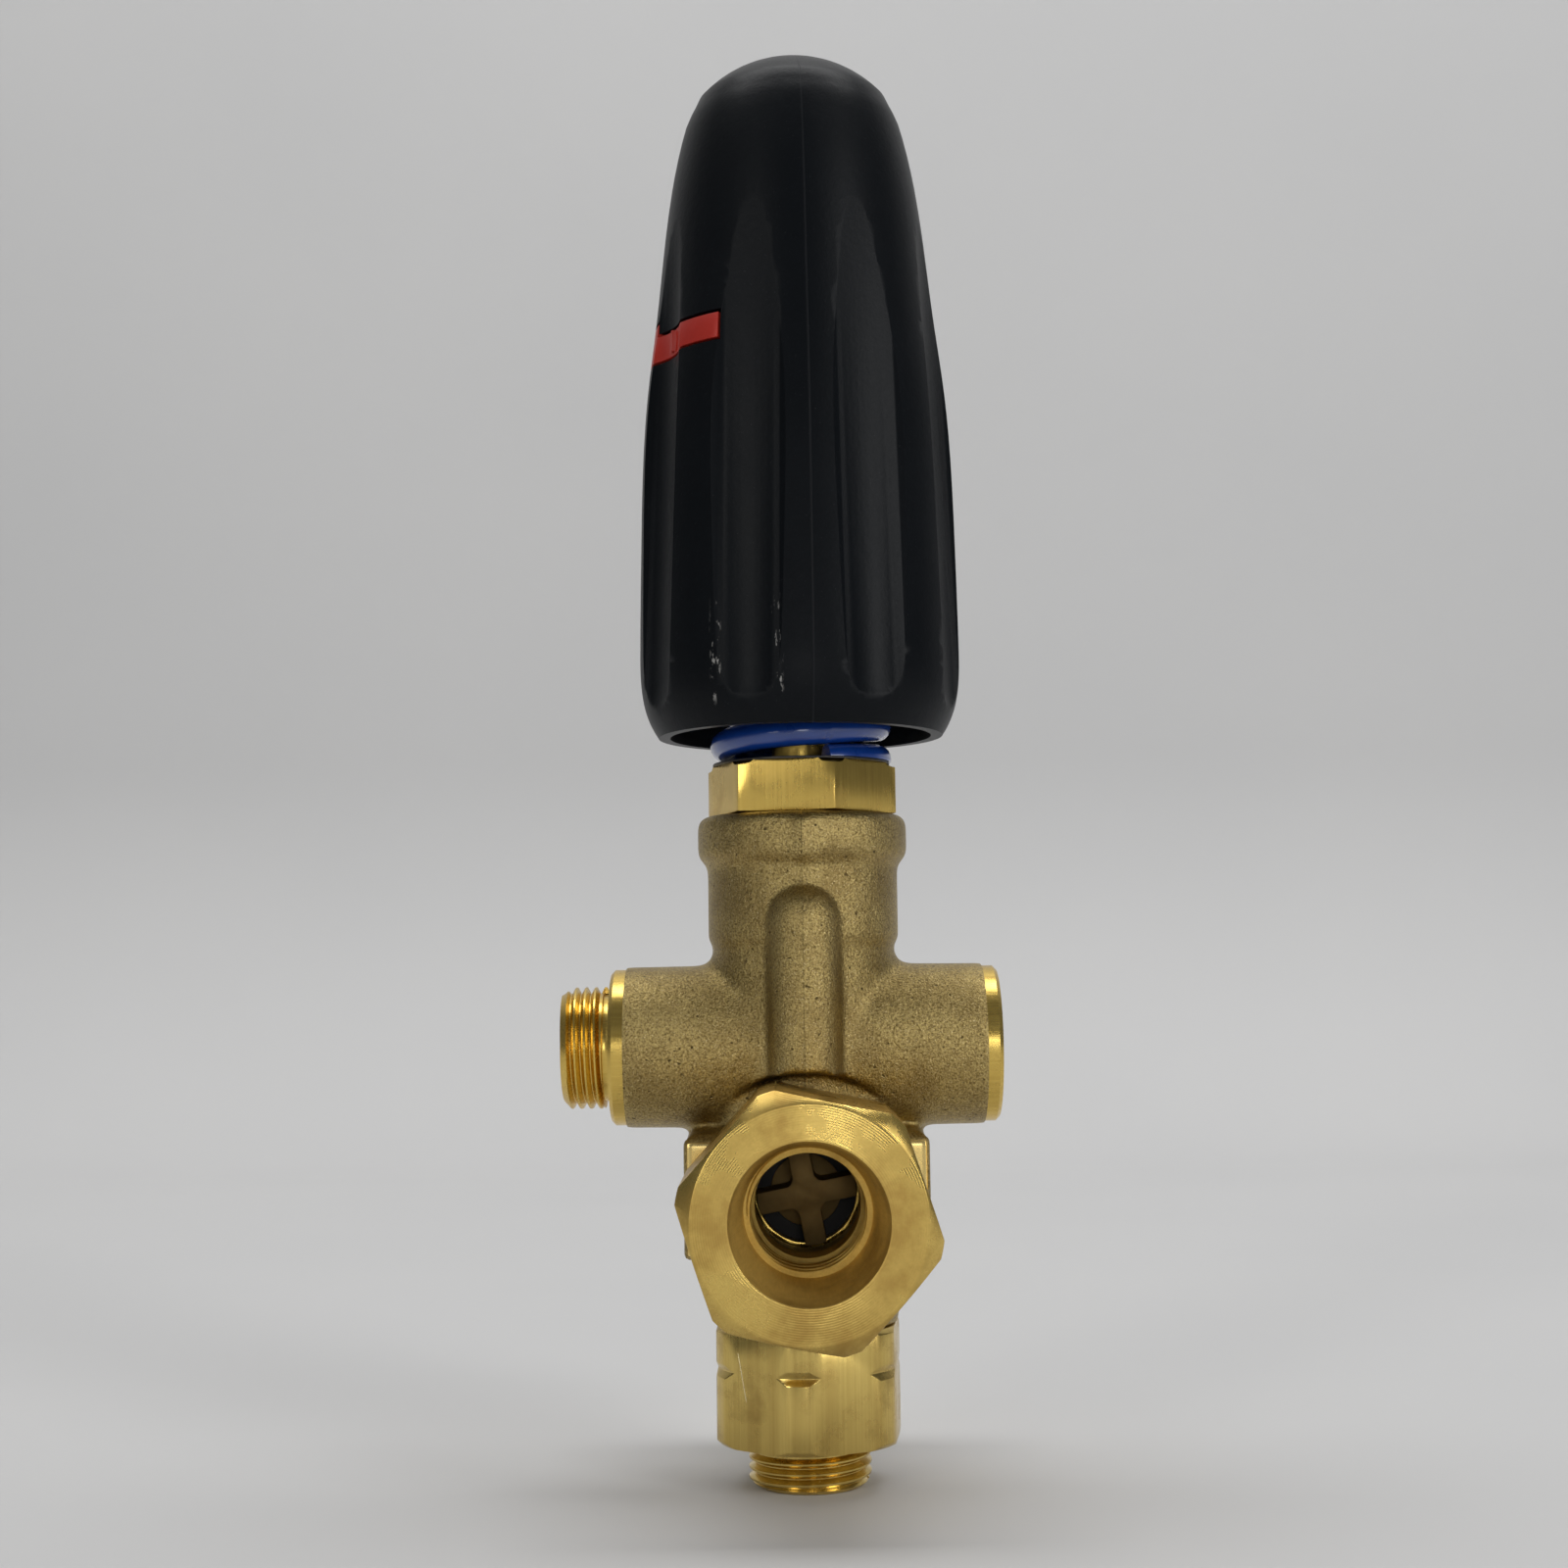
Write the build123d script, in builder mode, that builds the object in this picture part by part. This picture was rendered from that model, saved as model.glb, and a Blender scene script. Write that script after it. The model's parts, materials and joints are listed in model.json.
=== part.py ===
from build123d import *
import os
from math import asin, cos, radians, sin, tan

os.makedirs("parts", exist_ok=True)

# Unloader (pressure relief) valve, millimetres.
# Z runs up the stem, the inlet faces -Y, the bypass ports face -X and +X.
# The origin is the centre of the outlet thread's shoulder, under the outlet adapter's hexagon.

# Threads are drawn as plain cylinders: pipe threads on their major and minor radius.
pipe_major_r = 8.33
pipe_minor_r = 7.475
screw_gap = 0.05
slide_gap = 0.05
seal_gap = 0.03
thread_chamfer = 1.0
thread_end_gap = 0.3
cut_margin = 1.0

# Outlet adapter
outlet_thread_length = 6.0
outlet_hex_af = 24.0
outlet_hex_corner_r = 13.05
outlet_hex_height = 15.6
outlet_bore_r = 6.2
outlet_groove_width = 1.8
outlet_groove_drop = 5.6
outlet_groove_r = 12.5
outlet_hex_turn = 23.0
outlet_hex_chamfer = 0.6

# Body
spigot_r = 10.0
spigot_length = 8.0
gasket_thickness = 1.0
foot_r = 12.4
collar_chamfer = 1.0
foot_height = 4.4
collar_r = 14.5
collar_height = 5.0
block_half_width = 16.5
block_height = 16.8
block_chamfer = 1.3
spot_face_y = 8.8
spot_face_r = 17.3
port_height = 16.8
arm_height = 37.4
arm_r = 11.0
arm_draft = 0.25
arm_taper = 0.6
arm_raw_length = 24.5
arm_length = 26.5
arm_turned_r = 10.65
arm_port_depth = 12.0
arm_bore_r = 5.0
waist_r = 12.5
waist_top = 51.8
neck_r = 13.15
neck_top = 62.0
body_height = 69.1
head_height = 5.6
ridge_r = 4.8
ridge_offset = 11.5
ridge_height = 59.4
rib_width = 1.4
rib_depth = 0.7
boss_r = 14.2
boss_length = 21.5
arm_root_fillet = 2.0
arm_chamfer = 0.5
chamfer_taper = 45
port_lead_taper = 40
ridge_round = 2.0
ridge_taper = 35
rib_drop = 3.4

# Bores inside the body
inlet_thread_r = 10.0
inlet_thread_depth = 4.8
cross_bore_r = 7.5
riser_r = 5.2
check_bore_r = 9.0
check_ledge = 5.5
plug_thread_r = 11.0
plug_thread_length = 6.0
bypass_r = 8.0
piston_r = 9.0
bonnet_thread_r = 11.0
bonnet_thread_length = 8.2
sense_drill_r = 1.4
sense_ball_r = 1.7
ball_depth = 0.6
sense_drill_y = 11.5
sense_hole_r = 1.2
sense_hole_rise = 2.0
outlet_drill_r = 2.4
outlet_drill_length = 24.0
outlet_drill_tilt = 45.0
outlet_drill_offset = 3.33
outlet_pocket_depth = 5.0

# Bonnet, spring and plates
bonnet_hex_af = 23.0
bonnet_hex_height = 6.6
bonnet_hex_turn = 49.4
bonnet_hex_chamfer = 0.9
bonnet_face_r = 11.7
stem_seal_rise = 2.2
bonnet_ring_rise = 1.3
plate_thickness = 0.7
plate_r = 12.3
plate_gap = 0.3
plate_spigot_length = 2.0
thrust_washer_r = 9.5
spring_length = 45.0
spring_outer_r = 12.65
spring_wire_r = 1.95
spring_pitch = 6.7
upper_plate_thickness = 3.0
washer_thickness = 1.0

# Stem, piston and shutter
stem_r = 4.0
tail_r = 2.5
adjust_travel = 6.3
seat_top = 33.9
seat_height = 3.0
seat_hole_r = 3.4
shutter_r = 4.2
shutter_height = 3.8
piston_height = 8.0
piston_floor_drop = 1.0
piston_lift = 3.0
stem_end_length = 1.0
piston_nut_height = 2.6
seal_wire_r = 0.6
ring_thickness = 0.7
shutter_nose = 0.6
stem_chamfer = 0.6
piston_land = 2.6
piston_chamfer = 0.5
piston_nut_af = 8.0
seat_slot_width = 1.6
seat_slot_depth = 0.8
seat_ring_lift = 1.2

# Check valve
check_seat_length = 3.5
check_seat_bore_r = 7.0
check_ring_gap = 0.16
wing_r = 6.9
wing_thickness = 3.0
wing_start = 1.5
wing_corner_r = 1.2
wing_angle = 10.5
poppet_head_r = 8.3
poppet_head_length = 2.2
poppet_seal_thickness = 0.95
poppet_neck_r = 5.0
poppet_chamfer = 0.6
poppet_boss_length = 1.5
check_spring_r = 5.0
check_spring_wire_r = 0.45
check_spring_pitch = 1.7
plug_hex_af = 27.0
plug_hex_length = 7.0
plug_chamfer = 0.8
plug_wall = 1.0
plug_ring_r = 11.75

# Inlet fitting and bypass nipple
inlet_hex_af = 30.0
inlet_hex_length = 25.2
inlet_face_r = 14.9
inlet_chamfer_angle = 30.0
inlet_mouth_r = 10.0
inlet_cone_length = 13.5
inlet_thread_length = 10.0
inlet_neck_r = 7.05
inlet_hex_turn = 48.0
inlet_ring_r = 11.6
nipple_length = 6.6
nipple_undercut_r = 7.3
nipple_undercut_width = 1.0
nipple_key_af = 10.0
nipple_key_depth = 9.0

# Adjusting bush, stop nut, knob and clip
bush_hex_af = 15.0
bush_height = 19.0
bush_groove_r = 6.0
clip_height = 3.6
clip_gap = 0.4
clip_offset = 7.0
clip_inner_r = 16.8
clip_tab_angle = 11.0
clip_tab_rise = 1.9
fork_half_width = 8.6
fork_reach = 6.5
fork_thickness = 3.0
fork_overlap = 1.0
stop_nut_af = 13.0
stop_nut_height = 6.0
stop_nut_gap = 0.2
bush_groove_height = 3.2
bush_clearance = 0.08
knob_clearance = 3.7
knob_rim_r = 20.3
knob_belly_r = 22.3
# Side of the knob: how far in from the belly's radius, and how high above the rim
knob_side = [(0.9, 3.2), (0.0, 12.0), (0.25, 26.9), (1.35, 48.7), (2.6, 58.6)]
knob_upper_r = 16.95
knob_upper_drop = 18.4
knob_shoulder_r = 15.5
knob_shoulder_drop = 12.1
rim_round = 0.5
crown_edge_r = 13.5
crown_rise = 6.1
knob_height = 98.6
knob_mouth_r = 18.2
knob_bore_height = 35.3
knob_waist_r = 15.0
knob_waist_height = 64.0
knob_roof_r = 13.0
knob_roof_drop = 20.6
hub_wall = 2.6
hub_end_gap = 1.0
rib_overlap = 0.5
rib_thickness = 1.8
flute_count = 8
flute_r = 10.4
flute_depth = 1.3
flute_start = 6.0
flute_end = 68.0
flute_top_r = 18.4
flute_angle = -18.2
clip_mid_angle = -85.7
clip_half_angle = 54.5
slot_angle_gap = 1.2

# Levels along the stem
body_z = outlet_hex_height
port_z = body_z + port_height
arm_z = body_z + arm_height
body_top_z = body_z + body_height
seat_z = body_z + seat_top - seat_height
piston_floor_z = arm_z + bypass_r - piston_floor_drop
piston_ceiling_z = body_top_z - bonnet_thread_length
piston_bottom_z = piston_floor_z + piston_lift
piston_top_z = piston_bottom_z + piston_height
plate_z = body_top_z + bonnet_hex_height
spring_z = plate_z + plate_thickness
spring_top_z = spring_z + spring_length
washer_z = spring_top_z + upper_plate_thickness
bush_z = washer_z + washer_thickness
bush_top_z = bush_z + bush_height
stop_nut_z = bush_top_z + stop_nut_gap
stem_top_z = stop_nut_z + stop_nut_height + stem_end_length
clip_z = bush_z + clip_offset
knob_rim_z = spring_z + knob_clearance
knob_top_z = knob_rim_z + knob_height
sense_hole_z = piston_top_z + sense_hole_rise

# Axes and planes of the ports
port_axis = Axis((0, 0, port_z), (0, 1, 0))


def front_plane(y):
    """Upright plane at this y that faces the inlet side, with its origin on the inlet axis."""
    return Plane(origin=(0, y, port_z), x_dir=(1, 0, 0), z_dir=(0, -1, 0))


def side_plane(x, height=arm_z):
    """Upright plane at this x that faces +X, with its origin on the bypass axis."""
    return Plane(origin=(x, 0, height), x_dir=(0, 1, 0), z_dir=(1, 0, 0))


def level(z):
    """Horizontal plane at this height."""
    return Plane.XY.offset(z)


outlet_drill_plane = Plane(
    origin=(0, -outlet_drill_offset, body_z - spigot_length),
    z_dir=(0, sin(radians(outlet_drill_tilt)), cos(radians(outlet_drill_tilt))),
)


def block_plan():
    """Plan of the body's lower block: flat in front, half round behind."""
    with BuildSketch() as plan:
        Circle(block_half_width)
        with Locations((0, -block_half_width / 2)):
            Rectangle(2 * block_half_width, block_half_width)
        with Locations((0, -spot_face_y - block_half_width / 2)):
            Rectangle(2 * block_half_width + cut_margin, block_half_width, mode=Mode.SUBTRACT)
    return plan.sketch


def hexagon(across_flats, turn=0.0):
    """Hexagon with one corner turned this many degrees from the plane's X."""
    return RegularPolygon(across_flats / 2, 6, major_radius=False, rotation=turn)


def sector(inner_r, half_angle):
    """Arc-shaped plate round the plane's X, from this radius out past the knob."""
    with BuildSketch() as plate:
        with BuildLine():
            reach = 2 * knob_belly_r
            across = reach * sin(radians(half_angle))
            along = reach * cos(radians(half_angle))
            Polyline((0, 0), (along, -across), (reach, 0), (along, across), close=True)
        make_face()
        Circle(inner_r, mode=Mode.SUBTRACT)
    return plate.sketch


def o_ring(plane, centre_r, wire_r):
    """Ring of round section lying in the plane."""
    with BuildPart(plane) as ring:
        Torus(centre_r, wire_r)
    return ring


def coil(base, mean_r, wire_r, pitch, length):
    """Compression spring that stands on the base plane, both ends ground flat."""
    with BuildPart() as spring:
        with BuildLine() as path:
            Helix(pitch, length, mean_r, center=base.origin, direction=base.z_dir)
        with BuildSketch(Plane(origin=path.line @ 0, z_dir=path.line % 0)):
            Circle(wire_r)
        sweep(path=path.line, is_frenet=True)
        split(bisect_by=base, keep=Keep.TOP)
        split(bisect_by=base.offset(length), keep=Keep.BOTTOM)
    return spring


# ---------------------------------------------------------------- valve body
# The forging: a round column on a block, two bypass arms, a ridge in front and one behind,
# and a boss at the back. The ports and bores are machined in it afterwards.
waist_z = body_z + waist_top
neck_z = body_z + neck_top
head_z = body_top_z - head_height
ridge_top_z = body_z + ridge_height
collar_z = body_z + foot_height
block_bottom_z = collar_z + collar_height
block_top_z = block_bottom_z + block_height

with BuildPart() as valve_body:
    with BuildSketch(Plane.XZ):
        with BuildLine():
            Polyline(
                (0, body_z),
                (foot_r, body_z),
                (foot_r, collar_z),
                (collar_r, collar_z),
                (collar_r, block_bottom_z),
                (waist_r, block_bottom_z),
                (waist_r, waist_z),
                (neck_r, waist_z),
                (neck_r, neck_z),
                (collar_r, head_z),
                (collar_r, body_top_z - collar_chamfer),
                (collar_r - collar_chamfer, body_top_z),
                (0, body_top_z),
                close=True,
            )
        make_face()
    revolve(axis=Axis.Z)
    with BuildSketch(side_plane(0)):
        Circle(arm_r + arm_draft)
    extrude(amount=arm_raw_length, both=True, taper=arm_taper)
    arm_roots = valve_body.edges().filter_by(GeomType.BSPLINE)
    fillet(arm_roots.filter_by(lambda edge: abs(edge.center().Z - arm_z) < arm_r), arm_root_fillet)
    with BuildSketch(level(block_bottom_z)):
        add(block_plan())
    extrude(amount=block_height - block_chamfer)
    with BuildSketch(level(block_top_z - block_chamfer)):
        add(block_plan())
    extrude(amount=block_chamfer, taper=chamfer_taper)
    for side in (-1, 1):
        with BuildSketch(level(block_bottom_z)):
            with Locations((0, side * ridge_offset)):
                Circle(ridge_r)
        extrude(amount=ridge_top_z - ridge_round - block_bottom_z)
        with BuildSketch(level(ridge_top_z - ridge_round)):
            with Locations((0, side * ridge_offset)):
                Circle(ridge_r)
        extrude(amount=ridge_round, taper=ridge_taper)
    for side in (-1, 1):
        with BuildSketch(side_plane(side * arm_raw_length)):
            Circle(arm_turned_r)
        extrude(amount=side * (arm_length - arm_raw_length - arm_chamfer))
        with BuildSketch(side_plane(side * (arm_length - arm_chamfer))):
            Circle(arm_turned_r)
        extrude(amount=side * arm_chamfer, taper=chamfer_taper)
    with BuildSketch(front_plane(boss_length)):
        Circle(boss_r)
    extrude(amount=boss_length)
    with BuildSketch(level(neck_z - rib_drop)):
        with Locations((0, -(collar_r + rib_depth) / 2)):
            Rectangle(rib_width, collar_r + rib_depth)
    extrude(amount=body_top_z - collar_chamfer - neck_z + rib_drop)
    with BuildSketch(level(body_z)):
        Circle(spigot_r)
    extrude(amount=-spigot_length)
    # Spot face under the inlet fitting
    with BuildSketch(front_plane(-spot_face_y)):
        Circle(spot_face_r)
    extrude(amount=2 * spot_face_r, mode=Mode.SUBTRACT)
    # Cross bore from the inlet to the check valve, and the thread of each end
    with BuildSketch(front_plane(-spot_face_y)):
        Circle(cross_bore_r)
    extrude(amount=-spot_face_y - check_ledge, mode=Mode.SUBTRACT)
    with BuildSketch(front_plane(-spot_face_y)):
        Circle(inlet_thread_r)
    extrude(amount=-inlet_thread_depth, mode=Mode.SUBTRACT)
    with BuildSketch(front_plane(boss_length)):
        Circle(check_bore_r)
    extrude(amount=boss_length - check_ledge, mode=Mode.SUBTRACT)
    with BuildSketch(front_plane(boss_length)):
        Circle(plug_thread_r)
    extrude(amount=plug_thread_length, mode=Mode.SUBTRACT)
    # Riser to the shutter's seat, bypass chamber, piston bore and bonnet thread
    with BuildSketch(level(port_z)):
        Circle(riser_r)
    extrude(amount=seat_z - port_z, mode=Mode.SUBTRACT)
    with BuildSketch(level(seat_z)):
        Circle(bypass_r)
    extrude(amount=piston_floor_z - seat_z, mode=Mode.SUBTRACT)
    with BuildSketch(level(piston_floor_z)):
        Circle(piston_r)
    extrude(amount=piston_ceiling_z - piston_floor_z, mode=Mode.SUBTRACT)
    with BuildSketch(level(piston_ceiling_z)):
        Circle(bonnet_thread_r)
    extrude(amount=bonnet_thread_length, mode=Mode.SUBTRACT)
    # Bypass ports
    with BuildSketch(side_plane(0)):
        Circle(arm_bore_r)
    extrude(amount=arm_length, both=True, mode=Mode.SUBTRACT)
    with BuildSketch(side_plane(arm_length)):
        Circle(pipe_minor_r)
    extrude(amount=-arm_port_depth, mode=Mode.SUBTRACT)
    with BuildSketch(side_plane(arm_length)):
        Circle(pipe_major_r + screw_gap)
    extrude(amount=-thread_chamfer, taper=port_lead_taper, mode=Mode.SUBTRACT)
    with BuildSketch(side_plane(-arm_length)):
        Circle(pipe_major_r + screw_gap)
    extrude(amount=arm_port_depth, mode=Mode.SUBTRACT)
    # Sense drilling: up the back ridge from the check valve's chamber to above the piston
    with BuildSketch(level(port_z)):
        with Locations((0, sense_drill_y)):
            Circle(sense_drill_r)
    extrude(amount=ridge_top_z - port_z, mode=Mode.SUBTRACT)
    with BuildSketch(level(ridge_top_z)):
        with Locations((0, sense_drill_y)):
            Circle(sense_ball_r)
    extrude(amount=-2 * sense_ball_r, mode=Mode.SUBTRACT)
    with BuildSketch(Plane.XZ):
        with Locations((0, sense_hole_z)):
            Circle(sense_hole_r)
    extrude(amount=-sense_drill_y, mode=Mode.SUBTRACT)
    # Outlet drilling: from the spigot's bore, slanting up and back to the check valve's chamber
    with BuildSketch(level(body_z - spigot_length)):
        Circle(outlet_bore_r)
    extrude(amount=outlet_pocket_depth, mode=Mode.SUBTRACT)
    with BuildSketch(outlet_drill_plane):
        Circle(outlet_drill_r)
    extrude(amount=outlet_drill_length, mode=Mode.SUBTRACT)

valve_body.part.label = "valve_body"
export_step(valve_body.part, "parts/valve_body.step")


# ---------------------------------------------------------------- bonnet nut and its seals
# Brass nut screwed into the top of the body. It closes the sense chamber and carries the spring.
seal_groove_z = piston_ceiling_z + stem_seal_rise
bonnet_ring_z = piston_ceiling_z + bonnet_ring_rise

with BuildPart() as bonnet_nut:
    with BuildSketch(level(body_top_z)):
        hexagon(bonnet_hex_af, bonnet_hex_turn)
    extrude(amount=bonnet_hex_height)
    with BuildSketch(Plane.XZ):
        with BuildLine():
            Polyline(
                (0, body_top_z),
                (bonnet_face_r, body_top_z),
                (bonnet_hex_af, body_top_z + bonnet_hex_chamfer),
                (bonnet_hex_af, plate_z - bonnet_hex_chamfer),
                (bonnet_face_r, plate_z),
                (0, plate_z),
                close=True,
            )
        make_face()
    revolve(axis=Axis.Z, mode=Mode.INTERSECT)
    with BuildSketch(level(body_top_z)):
        Circle(bonnet_thread_r - screw_gap)
    extrude(amount=-bonnet_thread_length)
    with BuildSketch(level(piston_ceiling_z)):
        Circle(stem_r + slide_gap)
    extrude(amount=plate_z - piston_ceiling_z, mode=Mode.SUBTRACT)
    with BuildSketch(level(seal_groove_z)):
        Circle(stem_r + seal_gap + 2 * seal_wire_r + seal_gap)
    extrude(amount=2 * seal_wire_r + ring_thickness + 2 * seal_gap, mode=Mode.SUBTRACT)
    with BuildSketch(level(bonnet_ring_z - seal_wire_r - seal_gap)):
        Circle(bonnet_thread_r)
        Circle(bonnet_thread_r - screw_gap - 2 * seal_wire_r, mode=Mode.SUBTRACT)
    extrude(amount=2 * (seal_wire_r + seal_gap), mode=Mode.SUBTRACT)

bonnet_nut.part.label = "bonnet_nut"
export_step(bonnet_nut.part, "parts/bonnet_nut.step")

bonnet_o_ring = o_ring(level(bonnet_ring_z), bonnet_thread_r - screw_gap - seal_wire_r, seal_wire_r)
bonnet_o_ring.part.label = "bonnet_o_ring"
export_step(bonnet_o_ring.part, "parts/bonnet_o_ring.step")

stem_seal_z = seal_groove_z + seal_gap + seal_wire_r
stem_o_ring = o_ring(level(stem_seal_z), stem_r + seal_gap + seal_wire_r, seal_wire_r)
stem_o_ring.part.label = "stem_o_ring"
export_step(stem_o_ring.part, "parts/stem_o_ring.step")

with BuildPart() as stem_backup_ring:
    with BuildSketch(level(stem_seal_z + seal_wire_r)):
        Circle(stem_r + seal_gap + 2 * seal_wire_r)
        Circle(stem_r + seal_gap, mode=Mode.SUBTRACT)
    extrude(amount=ring_thickness)

stem_backup_ring.part.label = "stem_backup_ring"
export_step(stem_backup_ring.part, "parts/stem_backup_ring.step")


# ---------------------------------------------------------------- spring and its plates
with BuildPart() as lower_spring_plate:
    with BuildSketch(level(plate_z)):
        Circle(plate_r)
        Circle(stem_r + plate_gap, mode=Mode.SUBTRACT)
    extrude(amount=plate_thickness)

lower_spring_plate.part.label = "lower_spring_plate"
export_step(lower_spring_plate.part, "parts/lower_spring_plate.step")

spring_mean_r = spring_outer_r - spring_wire_r
main_spring = coil(level(spring_z), spring_mean_r, spring_wire_r, spring_pitch, spring_length)
main_spring.part.label = "main_spring"
export_step(main_spring.part, "parts/main_spring.step")

with BuildPart() as upper_spring_plate:
    with BuildSketch(level(spring_top_z)):
        Circle(plate_r)
    extrude(amount=upper_plate_thickness)
    with BuildSketch(level(spring_top_z)):
        Circle(spring_outer_r - 2 * spring_wire_r - plate_gap)
    extrude(amount=-plate_spigot_length)
    with BuildSketch(level(spring_top_z - plate_spigot_length)):
        Circle(stem_r + slide_gap)
    extrude(amount=plate_spigot_length + upper_plate_thickness, mode=Mode.SUBTRACT)

upper_spring_plate.part.label = "upper_spring_plate"
export_step(upper_spring_plate.part, "parts/upper_spring_plate.step")

with BuildPart() as thrust_washer:
    with BuildSketch(level(washer_z)):
        Circle(thrust_washer_r)
        Circle(stem_r + slide_gap, mode=Mode.SUBTRACT)
    extrude(amount=washer_thickness)

thrust_washer.part.label = "thrust_washer"
export_step(thrust_washer.part, "parts/thrust_washer.step")


# ---------------------------------------------------------------- stem, piston and shutter
shutter_top_z = seat_z + shutter_nose
shutter_bottom_z = shutter_top_z - shutter_height

with BuildPart() as stem:
    with BuildSketch(level(piston_top_z)):
        Circle(stem_r)
    extrude(amount=stem_top_z - piston_top_z)
    chamfer(stem.edges().sort_by(Axis.Z)[-1], stem_chamfer)
    with BuildSketch(level(piston_top_z)):
        Circle(tail_r)
    extrude(amount=shutter_bottom_z - piston_top_z)

stem.part.label = "stem"
export_step(stem.part, "parts/stem.step")

piston_groove_z = piston_bottom_z + piston_land
piston_ring_z = piston_groove_z + ring_thickness + seal_gap + seal_wire_r

with BuildPart() as piston:
    with BuildSketch(level(piston_bottom_z)):
        Circle(piston_r - slide_gap)
        Circle(tail_r + screw_gap, mode=Mode.SUBTRACT)
    extrude(amount=piston_height)
    chamfer(piston.edges().filter_by(GeomType.CIRCLE).group_by(SortBy.RADIUS)[-1], piston_chamfer)
    with BuildSketch(level(piston_groove_z)):
        Circle(piston_r)
        Circle(piston_r - slide_gap - 2 * seal_wire_r, mode=Mode.SUBTRACT)
    extrude(amount=2 * seal_wire_r + ring_thickness + 2 * seal_gap, mode=Mode.SUBTRACT)

piston.part.label = "piston"
export_step(piston.part, "parts/piston.step")

piston_o_ring = o_ring(level(piston_ring_z), piston_r - slide_gap - seal_wire_r, seal_wire_r)
piston_o_ring.part.label = "piston_o_ring"
export_step(piston_o_ring.part, "parts/piston_o_ring.step")

with BuildPart() as piston_backup_ring:
    with BuildSketch(level(piston_groove_z)):
        Circle(piston_r - slide_gap)
        Circle(piston_r - slide_gap - 2 * seal_wire_r, mode=Mode.SUBTRACT)
    extrude(amount=ring_thickness)

piston_backup_ring.part.label = "piston_backup_ring"
export_step(piston_backup_ring.part, "parts/piston_backup_ring.step")

with BuildPart() as piston_nut:
    with BuildSketch(level(piston_bottom_z)):
        hexagon(piston_nut_af)
        Circle(tail_r + screw_gap, mode=Mode.SUBTRACT)
    extrude(amount=-piston_nut_height)

piston_nut.part.label = "piston_nut"
export_step(piston_nut.part, "parts/piston_nut.step")

# The shutter's cone closes the seat from below.
with BuildPart() as shutter:
    with BuildSketch(Plane.XZ):
        with BuildLine():
            Polyline(
                (tail_r + screw_gap, shutter_bottom_z),
                (shutter_r, shutter_bottom_z),
                (shutter_r, seat_z - shutter_r + seat_hole_r - slide_gap),
                (seat_hole_r - slide_gap - shutter_nose, shutter_top_z),
                (tail_r + screw_gap, shutter_top_z),
                close=True,
            )
        make_face()
    revolve(axis=Axis.Z)

shutter.part.label = "shutter"
export_step(shutter.part, "parts/shutter.step")

with BuildPart() as shutter_seat:
    with BuildSketch(level(seat_z)):
        Circle(bypass_r - screw_gap)
        Circle(seat_hole_r, mode=Mode.SUBTRACT)
    extrude(amount=seat_height)
    with BuildSketch(level(seat_z + seat_height - seat_slot_depth)):
        Rectangle(2 * bypass_r, seat_slot_width)
    extrude(amount=seat_slot_depth, mode=Mode.SUBTRACT)
    with BuildSketch(level(seat_z + seat_ring_lift - seal_wire_r - seal_gap)):
        Circle(bypass_r)
        Circle(bypass_r - screw_gap - 2 * seal_wire_r, mode=Mode.SUBTRACT)
    extrude(amount=2 * (seal_wire_r + seal_gap), mode=Mode.SUBTRACT)

shutter_seat.part.label = "shutter_seat"
export_step(shutter_seat.part, "parts/shutter_seat.step")

shutter_seat_o_ring = o_ring(level(seat_z + seat_ring_lift), bypass_r - screw_gap - seal_wire_r, seal_wire_r)
shutter_seat_o_ring.part.label = "shutter_seat_o_ring"
export_step(shutter_seat_o_ring.part, "parts/shutter_seat_o_ring.step")


# ---------------------------------------------------------------- inlet fitting
inlet_face_y = -spot_face_y - inlet_hex_length
inlet_thread_y = inlet_face_y + inlet_cone_length
inlet_neck_y = inlet_thread_y + inlet_thread_length
inlet_end_y = -spot_face_y + inlet_thread_depth - thread_end_gap
inlet_corner_r = inlet_hex_af / 2 / cos(radians(30))
inlet_chamfer = (inlet_corner_r - inlet_face_r) * tan(radians(inlet_chamfer_angle))

with BuildPart() as inlet_fitting:
    with BuildSketch(front_plane(-spot_face_y)):
        hexagon(inlet_hex_af, inlet_hex_turn)
    extrude(amount=inlet_hex_length)
    with BuildSketch(Plane.YZ):
        with BuildLine():
            Polyline(
                (-spot_face_y, port_z),
                (-spot_face_y, port_z + inlet_face_r),
                (-spot_face_y - inlet_chamfer, port_z + inlet_corner_r),
                (inlet_face_y + inlet_chamfer, port_z + inlet_corner_r),
                (inlet_face_y, port_z + inlet_face_r),
                (inlet_face_y, port_z),
                close=True,
            )
        make_face()
    revolve(axis=port_axis, mode=Mode.INTERSECT)
    with BuildSketch(front_plane(-spot_face_y)):
        Circle(inlet_thread_r - screw_gap)
    extrude(amount=-spot_face_y - inlet_end_y)
    with BuildSketch(Plane.YZ):
        with BuildLine():
            Polyline(
                (inlet_face_y, port_z),
                (inlet_face_y, port_z + inlet_mouth_r),
                (inlet_thread_y, port_z + pipe_major_r),
                (inlet_thread_y, port_z + pipe_minor_r),
                (inlet_neck_y, port_z + pipe_minor_r),
                (inlet_neck_y, port_z + inlet_neck_r),
                (inlet_end_y, port_z + inlet_neck_r),
                (inlet_end_y, port_z),
                close=True,
            )
        make_face()
    revolve(axis=port_axis, mode=Mode.SUBTRACT)
    with BuildSketch(front_plane(-spot_face_y)):
        Circle(inlet_ring_r + seal_wire_r + seal_gap)
        Circle(inlet_ring_r - seal_wire_r - seal_gap, mode=Mode.SUBTRACT)
    extrude(amount=2 * seal_wire_r, mode=Mode.SUBTRACT)

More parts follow.
